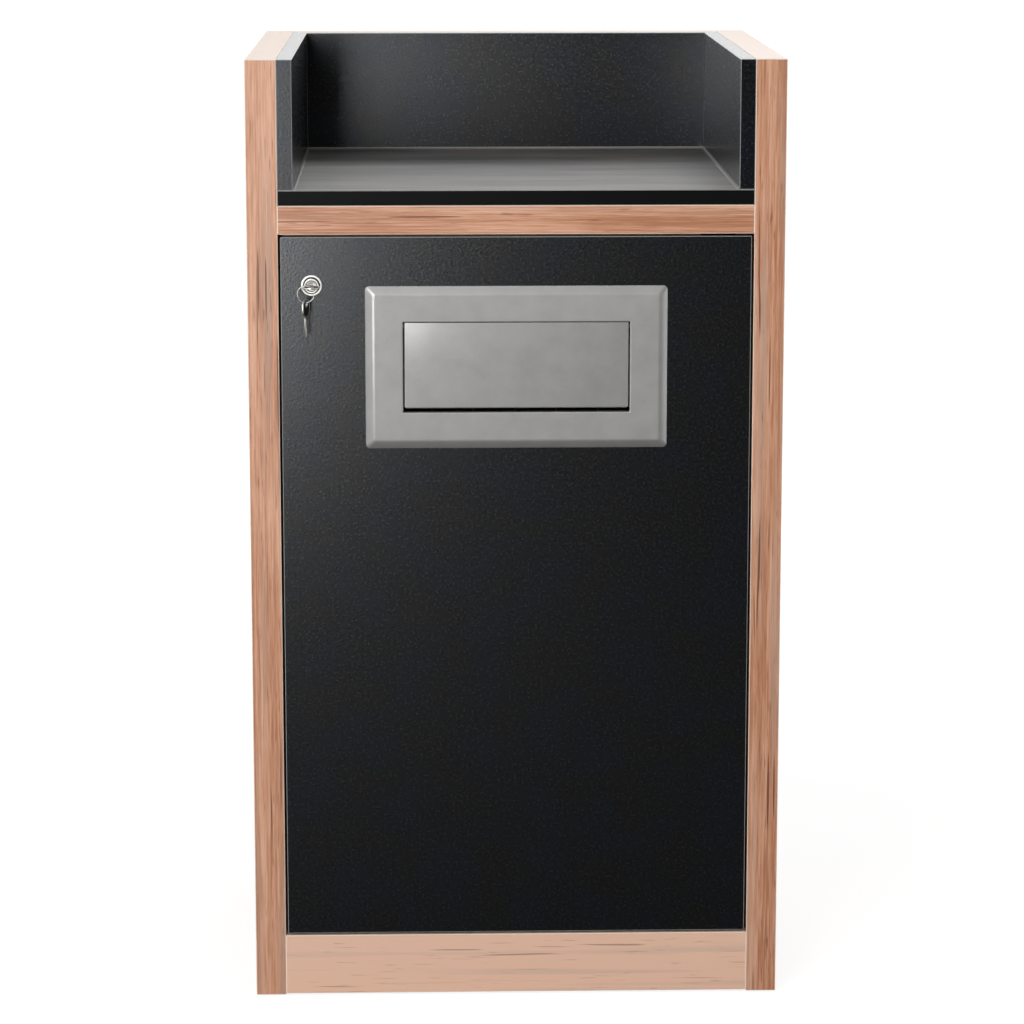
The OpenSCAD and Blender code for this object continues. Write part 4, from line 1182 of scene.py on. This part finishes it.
def springPath(side):
    radius = spring["coilRadius"]
    lean = math.radians(spring["legTurn"])
    sweep = 360 * spring["turns"] - 2 * spring["legTurn"]
    steps = spring["stepsPerTurn"] * spring["turns"]
    coil = []
    for k in range(steps + 1):
        turned = sweep * k / steps
        phase = math.radians(180 - spring["legTurn"] - turned)
        coil.append(Vector((coilX - spring["pitch"] * turned / 360,
                            radius * math.cos(phase), radius * math.sin(phase))))
    movingLong = spring["legLong"] - spring["movingLegShorter"]
    legDown = Vector((0, -math.sin(lean), -math.cos(lean))) * movingLong
    legUp = Vector((0, -math.sin(lean), math.cos(lean))) * spring["legLong"]
    moving = [coil[0] + legDown * share for share in (1, 0.75, 0.5, 0.25)]
    fixed = [coil[-1] + legUp * share for share in (0.25, 0.5, 0.75, 1)]
    return [(side * point.x, axisY + point.y, axisZ + point.z)
            for point in moving + coil + fixed]


for side, hand in ((-1, "left"), (1, "right")):
    springPiece = addPiece(hand + "_flap_spring",
                           sweepWire(springPath(side), spring["wire"], springWire, 10),
                           springWire, None, ["flap_springs", "flap_spring_legs"], 50)
    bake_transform(springPiece)

# Rod, its clips, and the brackets that carry it behind the bezel
rod = {
    "radius": 3.0,
    "chamfer": 0.5,
    "groove": 0.6,
    "grooveWide": 1.0,
    "clipThick": 0.9,
    "clipReach": 2.0,
}
grooveX = cabinetBox("flap_rod_clips")[1].x - rod["clipThick"] / 2
grooveRadius = rod["radius"] - rod["groove"]


def makeRod():
    radius, chamfer = rod["radius"], rod["chamfer"]
    end = cabinetBox("flap_rod")[1].x
    inner = grooveX - rod["grooveWide"] / 2
    outer = grooveX + rod["grooveWide"] / 2
    side = [(radius, inner - 0.02), (grooveRadius, inner), (grooveRadius, outer),
            (radius, outer + 0.02), (radius, end - chamfer), (radius - chamfer, end), (0, end)]
    profile = [(out, -x) for out, x in reversed(side)] + side
    return [moved(lathe(profile, segments=32), 0, axisY, axisZ, alongX)]


def makeClips():
    outline = arc(0, 0, rod["radius"] + rod["clipReach"], -70, 250, 24)
    outline += arc(0, 0, grooveRadius + 0.02, 228, -48, 20)
    clip = plate([outline], rod["clipThick"], 0.2)
    return [moved(clip, side * grooveX, axisY, axisZ, turnAbout("Z", 90) @ alongY)
            for side in (-1, 1)]


bracket = {
    "sheet": 2.0,
    "bendRadius": 1.4,
    "footY": bezelLow.y + 2.25,
    "earX": mouthX + 2.5,
    "earLong": 17.25,
    "below": 12.0,
    "above": 14.0,
    "lugX": (135.5, mouthX + 3.0),
    "lugY": (3.5, 5.0),
    "lugZ": (5.4, 9.0),
    "padWide": 4.6,
}


def sideBox(side, reach, low, high, edge):
    # a rounded box between two distances from the middle; low and high are its ends in Y and Z
    x0, x1 = sorted(side * x for x in reach)
    return roundedBox((x0, *low), (x1, *high), edge)


def makeBrackets():
    footX = cabinetBox("flap_brackets")[1].x
    footY, earX = bracket["footY"], bracket["earX"]
    parts = []
    for side in (-1, 1):
        path = bent([(side * footX, footY), (side * earX, footY),
                     (side * earX, footY + bracket["earLong"])], bracket["bendRadius"], 5)
        parts.append(ribbon(path, bracket["sheet"], axisZ - bracket["below"],
                            axisZ + bracket["above"]))
        low, high = ((axisY + y, axisZ + z) for y, z in zip(bracket["lugY"], bracket["lugZ"]))
        parts.append(sideBox(side, bracket["lugX"], low, high, 0.3))
    return parts


def makePads():
    low, high = cabinetBox("flap_stop_pads")
    return [sideBox(side, (high.x - bracket["padWide"], high.x), low.yz, high.yz, 0.6)
            for side in (-1, 1)]


addPiece("hinge_rod", makeRod(), nickel, "door", ["flap_rod"])
addPiece("rod_spring_clips", makeClips(), springWire, "door", ["flap_rod_clips"])
addPiece("rod_brackets", makeBrackets(), zinc, "door", ["flap_brackets"])
addPiece("stop_pads", makePads(), blackRubberAndGrooveShade, "door", ["flap_stop_pads"])

# Studs, washers and nuts that hold the bezel, copied to the four corners
stud = {
    "x": 168.0,
    "heights": (725.0, 890.0),
    "weldRadius": 4.0,
    "radius": 2.5,
    "threadFloor": 2.15,
    "threadFrom": 14.0,
    "threadPitch": 0.8,
    "pastDoor": 9.0,
    "washer": 1.2,
    "washerRadius": 7.0,
    "washerBore": 2.7,
    "nut": 4.0,
    "nutRadius": 4.6,
    "nutBore": 2.52,
}
studPlaces = [((x, 0, z), (0, 1, 0)) for x in (-stud["x"], stud["x"]) for z in stud["heights"]]


def makeStud():
    face = bezelLow.y + bezel["sheet"]
    weld, radius, end = stud["weldRadius"], stud["radius"], boardThick + stud["pastDoor"]
    profile = [(0, face), (weld - 0.2, face), (weld, face + 0.3), (weld, face + 0.8),
               (radius + 0.2, face + 1.1), (radius, face + 1.8)]
    for k in range(int((end - stud["threadFrom"] - 1) / stud["threadPitch"])):
        h = stud["threadFrom"] + k * stud["threadPitch"]
        profile += [(stud["threadFloor"], h), (radius, h + stud["threadPitch"] / 2)]
    return lathe(profile + [(2.1, end - 0.6), (1.8, end), (0, end)], segments=24)


addCopies("weld_studs", [makeStud()], studPlaces, stainless, "door", ["bezel_studs"])
washerOutlines = [arc(0, 0, stud["washerRadius"], 0, 351, 39),
                  arc(0, 0, stud["washerBore"], 0, 345, 23)]
washerPart = moved(plate(washerOutlines, stud["washer"], 0.25), z=boardThick + stud["washer"] / 2)
addCopies("stud_washers", [washerPart], studPlaces, zinc, "door", ["bezel_washers"])
nutPart = moved(makeNut(stud["nutRadius"], stud["nutBore"], stud["nut"]),
                z=boardThick + stud["washer"] + stud["nut"] / 2)
addCopies("stud_nuts", [nutPart], studPlaces, zinc, "door", ["bezel_nuts"], 1.0, 11)
print("bezel hardware made")

# Concealed hinges: each shape is made at one hinge and copied to all three
hinge = {
    "cupRadius": 17.5,
    "cupWall": 0.8,
    "cupRound": 2.0,
    "flange": 1.2,
    "wingRadius": 6.0,
    "cupScrewZ": 23.0,
    "cheekGap": 0.4,
    "cheekThick": 2.6,
    "armHeight": 16.0,
    "armThick": 3.0,
    "armRun": 31.0,
    "armStart": 2.6,
    "armLean": 135.0,
    "eyeRadius": 4.0,
    "pinRadius": 2.0,
    "pinPastArm": 3.0,
    "plateWingRadius": 7.0,
    "plateScrewY": 66.0,
    "plateScrewZ": 17.0,
    "clampScrewY": 76.0,
    "clampScrewOut": 3.0,
}
cupLow, cupHigh = cabinetBox("hinge_cups")
cupX = cabinetMiddle("hinge_cups")[0]
pinLow, pinHigh = cabinetBox("hinge_pins")
pivotX, pivotY, middleHingeZ = cabinetMiddle("hinge_pins")
armHigh = cabinetBox("hinge_arms")[1]
plateLow, plateHigh = cabinetBox("hinge_base_plates")
armHalf = hinge["armHeight"] / 2
pinHalf = armHalf + hinge["pinPastArm"]
hingeZs = (pinLow.z + pinHalf, middleHingeZ, pinHigh.z - pinHalf)
hingePlaces = [((0, 0, z), (0, 0, 1)) for z in hingeZs]


def cupParts():
    radius, wall, bend = hinge["cupRadius"], hinge["cupWall"], hinge["cupRound"]
    floor = cupLow.y
    top = cupHigh.y
    profile = [(0, floor), (radius - bend, floor)]
    profile += arc(radius - bend, floor + bend, bend, 270, 360, 5)
    profile += [(radius, boardThick), (radius + 2.2, boardThick), (radius + 2.5, boardThick + 0.3),
                (radius + 2.5, top - 0.3), (radius + 2.2, top), (radius + 0.2, top)]
    profile += [(radius - wall, top - 0.5)]
    profile += arc(radius - bend, floor + bend, bend - wall, 360, 270, 5)
    profile += [(0, floor + wall)]
    cup = moved(lathe(profile, segments=56), cupX, 0, 0, alongY)
    ear = hinge["cupScrewZ"]
    wing = arc(0, ear, hinge["wingRadius"], -8, 188, 12)
    wing += arc(0, -ear, hinge["wingRadius"], 172, 368, 12)
    middle = arc(0, 0, radius + 0.6, 0, 352, 44)
    wings = upright(plate([wing, middle], hinge["flange"], 0.25))
    inner = armHalf + hinge["cheekGap"]
    outer = inner + hinge["cheekThick"]
    wide = math.sqrt((radius - 1) ** 2 - outer ** 2)
    cheeks = []
    for side in (-1, 1):
        low, high = sorted((side * inner, side * outer))
        cheeks.append(roundedBox((cupX - wide, floor + 0.3, low), (cupX + wide, floor + 10, high),
                                 0.5))
    return [cup, moved(wings, cupX, boardThick + hinge["flange"] / 2, 0)] + cheeks


def chamferedBar(bore, radius, half):
    # a bar's profile about z = 0, its ends chamfered by 0.5 mm
    return [(bore, -half), (radius - 0.5, -half), (radius, 0.5 - half), (radius, half - 0.5),
            (radius - 0.5, half), (bore, half)]


def armParts():
    run = hinge["armRun"]
    edgeX = armHigh.x - pivotX - hinge["armThick"] / 2
    farY = armHigh.y - pivotY
    path = arc(0, 0, hinge["armStart"], hinge["armLean"], hinge["armLean"], 1)[:1]
    path += arc(0, 0, run, hinge["armLean"], 88, 14)
    path += bent([(6, run - 0.2), (edgeX, run - 0.2), (edgeX, farY)], 4, 8)
    strip = ribbon(path, hinge["armThick"], -armHalf, armHalf, 0.5)
    eye = lathe(chamferedBar(hinge["pinRadius"] + 0.05, hinge["eyeRadius"], armHalf), joined=True,
                segments=32)
    return [moved(part, pivotX, pivotY) for part in (strip, eye)]


def pinParts():
    pin = lathe(chamferedBar(0, hinge["pinRadius"], pinHalf), segments=24)
    return [moved(pin, pivotX, pivotY)]


def basePlateParts():
    # drawn in Y and Z, its thickness along X
    y0, y1 = plateLow.y, plateHigh.y
    wingY, radius, screwZ = hinge["plateScrewY"], hinge["plateWingRadius"], hinge["plateScrewZ"]
    outline = [(y0, -armHalf), (wingY - radius, -armHalf)]
    outline += arc(wingY, -screwZ, radius, 180, 360, 12)
    outline += [(wingY + radius, -armHalf), (y1, -armHalf), (y1, armHalf), (wingY + radius, armHalf)]
    outline += arc(wingY, screwZ, radius, 0, 180, 12) + [(wingY - radius, armHalf), (y0, armHalf)]
    points, faces = plate([outline], plateHigh.x - plateLow.x, 0.3)
    return [([(h + (plateLow.x + plateHigh.x) / 2, y, z) for y, z, h in points], faces)]


def hingeScrews(x, y, offsets, direction):
    return [((x, y, z + offset), direction) for z in hingeZs for offset in offsets]


addCopies("cup_pressings", cupParts(), hingePlaces, nickel, "door", ["hinge_cups"])
addCopies("gooseneck_arms", armParts(), hingePlaces, nickel, "root", ["hinge_arms"])
addCopies("cup_pins", pinParts(), hingePlaces, nickel, "door", ["hinge_pins"])
addCopies("winged_plates", basePlateParts(), hingePlaces, nickel, "root", ["hinge_base_plates"])
addScrews("cup_fixing_screws", woodScrew(12),
          hingeScrews(cupX, cupHigh.y, (-hinge["cupScrewZ"], hinge["cupScrewZ"]), (0, -1, 0)),
          "door", ["hinge_cup_screws"])
addScrews("plate_fixing_screws", woodScrew(16),
          hingeScrews(plateLow.x, hinge["plateScrewY"],
                      (-hinge["plateScrewZ"], hinge["plateScrewZ"]), (1, 0, 0)),
          "root", ["hinge_plate_screws"], 9)
addScrews("arm_clamp_screws", screwPart(2, 5.3, 3.5, 2.2, False),
          hingeScrews(plateLow.x - hinge["clampScrewOut"], hinge["clampScrewY"], (0,), (1, 0, 0)),
          "root", ["hinge_clamp_screws"], 4)


# Strike bracket, bumpers, sealant, feet
def makeStrike():
    low, high = cabinetBox("strike_bracket")
    sheet = strike["sheet"]
    path = bent([(high.x, low.y + sheet / 2), (low.x + sheet / 2, low.y + sheet / 2),
                 (low.x + sheet / 2, high.y)], strike["bendRadius"], 5)
    return [ribbon(path, sheet, low.z, high.z, 0.4)]


addPiece("strike_angle", makeStrike(), zinc, "root", ["strike_bracket"])
bumperHeight = 1.2
bumperLow, bumperHigh = cabinetBox("door_bumpers")
bumperRadius = (bumperHigh.x - bumperLow.x) / 2
bumperPart = lathe([(0, 0), (bumperRadius, 0), (bumperRadius, 0.5), (bumperRadius - 0.2, 0.8),
                    (bumperRadius - 0.9, 1.1), (bumperRadius - 2, bumperHeight), (0, bumperHeight)],
                   segments=32)
bumperPlaces = [((cabinetMiddle("door_bumpers")[0], boardThick, z), (0, 1, 0))
                for z in (bumperLow.z + bumperRadius, bumperHigh.z - bumperRadius)]
addCopies("soft_bumpers", [bumperPart], bumperPlaces, clearBumper, "door", ["door_bumpers"])
sealant = {"bead": 3.0, "steps": 5}


def makeSealant():
    # a hollow-faced bead along the tray's left, back and right corners
    low, high = cabinetBox("tray_sealant")
    bead, steps = sealant["bead"], sealant["steps"]
    hollow = [(bead - bead * math.cos(a), bead - bead * math.sin(a))
              for a in (math.radians(90 * k / steps) for k in range(steps + 1))]
    section = [(0.0, 0.0)] + hollow[::-1]
    rings = []
    for side, y, atBack in ((-1, low.y, 0), (-1, high.y, 1), (1, high.y, 1), (1, low.y, 0)):
        rings.append([(side * (high.x - out), y - out * atBack, low.z + up)
                      for out, up in section])
    return [skinRings(rings)]


addPiece("corner_sealant", makeSealant(), sealantRubber, "root", ["tray_sealant"])
foot = {
    "padRadius": 12.5,
    "padTop": 6.0,
    "stemRadius": 4.0,
    "threadFloor": 3.55,
    "threads": 36,
    "tall": 45.0,
}


def makeFoot(node):
    pad, stem, tall = foot["padRadius"], foot["stemRadius"], foot["tall"]
    profile = [(0, 0), (pad - 1.7, 0), (pad - 0.5, 0.5), (pad, 1.5), (pad, 3.6), (pad - 0.5, 4.3),
               (pad - 2.7, 5.9), (stem, foot["padTop"])]
    for k in range(foot["threads"]):
        h = foot["padTop"] + 0.3 + k
        profile += [(foot["threadFloor"], h), (stem, h + 0.5)]
    profile += [(3.4, tall - 2.4), (2.6, tall), (0, tall)]
    x, y, _ = cabinetMiddle(node)
    return [moved(lathe(profile, segments=48), x, y)]


for corner in ("front_left", "front_right", "rear_left", "rear_right"):
    addPiece("foot_" + corner, makeFoot("leveller_" + corner), footPlastic, "foot_" + corner,
             ["leveller_" + corner])

# Waste bin: a tapered moulding with a turned-down rim and a raised foot ring
trashBin = {
    "rimWide": 11.0,
    "rimHigh": 16.0,
    "wall": 3.5,
    "taper": 34.0,
    "cornerTop": 48.0,
    "cornerBottom": 36.0,
    "footInset": 14.0,
    "footRise": 5.0,
    "stepShare": 0.72,
    "stepOut": 2.0,
    "webs": 7,
    "webSpacing": 52.0,
    "webHalf": 0.9,
}
binLow, binHigh = cabinetBox("waste_bin")
binMidY = cabinetMiddle("waste_bin")[1]
binHalfY = (binHigh.y - binLow.y) / 2


def binRing(share, inset, z):
    # share 0 is the bin's bottom, 1 its top
    cut = trashBin["rimWide"] + trashBin["taper"] * (1 - share) + inset
    grown = (trashBin["cornerTop"] - trashBin["cornerBottom"]) * share
    x = binHigh.x - cut
    y = binHalfY - cut
    return roundedRect(-x, x, binMidY - y, binMidY + y, trashBin["cornerBottom"] + grown - inset,
                       z, 8)


def makeBin():
    z0, z1 = binLow.z, binHigh.z
    tall = z1 - z0
    wall, inset, step = trashBin["wall"], trashBin["footInset"], trashBin["stepShare"]
    out, lip, rim = trashBin["stepOut"], trashBin["rimWide"], trashBin["rimHigh"]
    # share, inset and height of each ring: foot, outer wall with its step, rim, inner wall
    rows = [(0, inset, z0 + trashBin["footRise"]), (0, inset - 1, z0 + 0.6), (0, inset - 2, z0),
            (0, 5, z0), (0, 1.6, z0 + 1.4), (0.01, 0, z0 + 6)]
    rows += [(step + share, -out * grown, z0 + tall * (step + share))
             for share, grown in ((-0.012, 0), (-0.006, 0.15), (0, 0.85), (0.006, 1))]
    rows += [(0.99, -out * 0.3, z1 - 6), (1, 0, z1 - 2.4), (1, 2.6 - lip, z1 - 2.4),
             (1, 2.4 - lip, z1 - 3.4), (1, 2.4 - lip, z1 - rim), (1, -lip, z1 - rim),
             (1, -lip, z1 - 2), (1, 0.6 - lip, z1 - 0.6), (1, 2 - lip, z1)]
    rows += [(1, wall - 1.5, z1), (1, wall - 0.4, z1 - 0.5), (0.995, wall, z1 - 2.5),
             (0.02, wall, z0 + 18), (0, wall + 1.5, z0 + 13), (0, wall + 5, z0 + 9.8),
             (0, wall + 10, z0 + 9)]
    return [skinRings([binRing(*row) for row in rows])]


addPiece("bin_moulding", makeBin(), binPlastic, "bin", ["waste_bin"])
# the copies' Y points down on the rear rim and up on the front rim, whose webs stand above it
webPart = roundedBox((-trashBin["webHalf"], 2.2, -1.0),
                     (trashBin["webHalf"], trashBin["rimHigh"] - 3, trashBin["rimWide"] - 2.5),
                     0.25, steps=1)
webPlaces = [(((k - (trashBin["webs"] - 1) / 2) * trashBin["webSpacing"],
               binMidY + side * (binHalfY - trashBin["rimWide"]), binHigh.z), (0, side, 0))
             for k in range(trashBin["webs"]) for side in (-1, 1)]
addCopies("bin_rim_webs", [webPart], webPlaces, binPlastic, "bin", ["waste_bin"])
print("bin and feet made")


# Studio: pale floor, soft light, camera at the photo's viewing angle
studio = {
    "cameraPlace": (-0.11, -4.2, 1.46),
    "cameraTilt": 79.95,
    "cameraPan": -1.5,
    "lens": 121.3,
    "shift": (-0.0043, -0.0697),
    "fill": 0.22,
    "frontGloss": 0.02,
    "leftGloss": 1.5,
    "backGloss": 1.5,
    "floorColours": (0.82, 0.045),  # as seen, and as gloss mirrors it
    "floorShare": 0.6,
    "floorGlow": (1.38, 1.62),
    # place, target, width and height, power; places are metres in the frame
    "softboxes": {
        "keyLight": ((-1.11, frontY - 2.87, 1.25), (-0.1, frontY, 0.95), (1.3, 1.9), 57.0),
        "sideLight": ((2.6, frontY - 1.5, 0.7), (0, frontY, 0.5), (1.2, 1.6), 15.0),
        "topLight": ((-1.5, frontY - 2.0, 2.7), (0, frontY + 0.3, 0.9), (1.0, 1.0), 15.0),
        "stripLight": ((0, frontY - 1.5, 2.7), (0, frontY, 0.9), (2.6, 0.09), 9.0),
        "backLight": ((0.5, 3.0, 3.4), (0, 0.3, 0.6), (2.0, 1.0), 48.0),
    },
}


def addCamera():
    camera = addObject("camera", bpy.data.cameras.new("camera"))
    x, y, z = studio["cameraPlace"]
    camera.location = (x, frontY + y, z)
    camera.rotation_euler = (math.radians(studio["cameraTilt"]), 0,
                             math.radians(studio["cameraPan"]))
    camera.data.lens = studio["lens"]
    camera.data.sensor_width = 36
    camera.data.shift_x, camera.data.shift_y = studio["shift"]
    bpy.context.scene.camera = camera


def addSoftbox(name, place, target, size, power):
    light = addObject(name, bpy.data.lights.new(name, "AREA"))
    light.data.shape = "RECTANGLE"
    light.data.size, light.data.size_y = size
    light.data.energy = power
    light.location = Vector(place)
    aim = Vector(target) - Vector(place)
    light.rotation_euler = aim.to_track_quat("-Z", "Y").to_euler()
    light.visible_camera = False


def addWorld():
    world = bpy.data.worlds.new("studio")
    bpy.context.scene.world = world
    world.use_nodes = True
    tree = world.node_tree
    background = tree.nodes["Background"].inputs
    rays = addNode(tree, "LightPath")
    seen = calc(tree, "MAXIMUM", rays["Is Camera Ray"], rays["Is Transmission Ray"])
    direction = addNode(tree, "SeparateXYZ", {"Vector": addNode(tree, "TexCoord")["Generated"]})
    behind = mapped(tree, direction["Y"], (-0.2, 0.5), (studio["frontGloss"], studio["backGloss"]))
    left = mapped(tree, direction["X"], (-0.45, -0.8), (0, studio["leftGloss"]))
    mirrored = calc(tree, "MAXIMUM", behind, left)
    level = mixed(tree, rays["Is Glossy Ray"], (studio["fill"],) * 3 + (1,), mirrored)
    fill(tree, background["Color"], mixed(tree, seen, level, (1, 1, 1, 1)))


def addFloor():
    size = 30
    mesh = bpy.data.meshes.new("floor")
    mesh.from_pydata([(-size, -size, 0), (size, -size, 0), (size, size, 0), (-size, size, 0)],
                     [], [(0, 1, 2, 3)])
    floor = addObject("floor", mesh)
    material, tree, shader = startMaterial("paleFloor", specular=0.1)
    shader["Roughness"].default_value = 0.9
    rays = addNode(tree, "LightPath")
    pale, mirrored = ((value,) * 3 + (1,) for value in studio["floorColours"])
    fill(tree, shader["Base Color"], mixed(tree, rays["Is Glossy Ray"], pale, mirrored))
    away = addNode(tree, "VectorMath", {0: addNode(tree, "TexCoord")["Object"]},
                   operation="LENGTH")["Value"]
    strength = mapped(tree, away, (0.8, 2.4), studio["floorGlow"])
    glow = addNode(tree, "Emission", {"Strength": strength})[0]
    share = calc(tree, "MULTIPLY", rays["Is Camera Ray"], studio["floorShare"])
    both = addNode(tree, "MixShader", {0: share, 1: tree.nodes["Principled BSDF"].outputs[0],
                                       2: glow})[0]
    fill(tree, tree.nodes["Material Output"].inputs["Surface"], both)
    mesh.materials.append(material)


bpy.context.scene.view_settings.view_transform = "Standard"
addCamera()
addWorld()
addFloor()
for lightName, lightSettings in studio["softboxes"].items():
    addSoftbox(lightName, *lightSettings)
print("studio made")
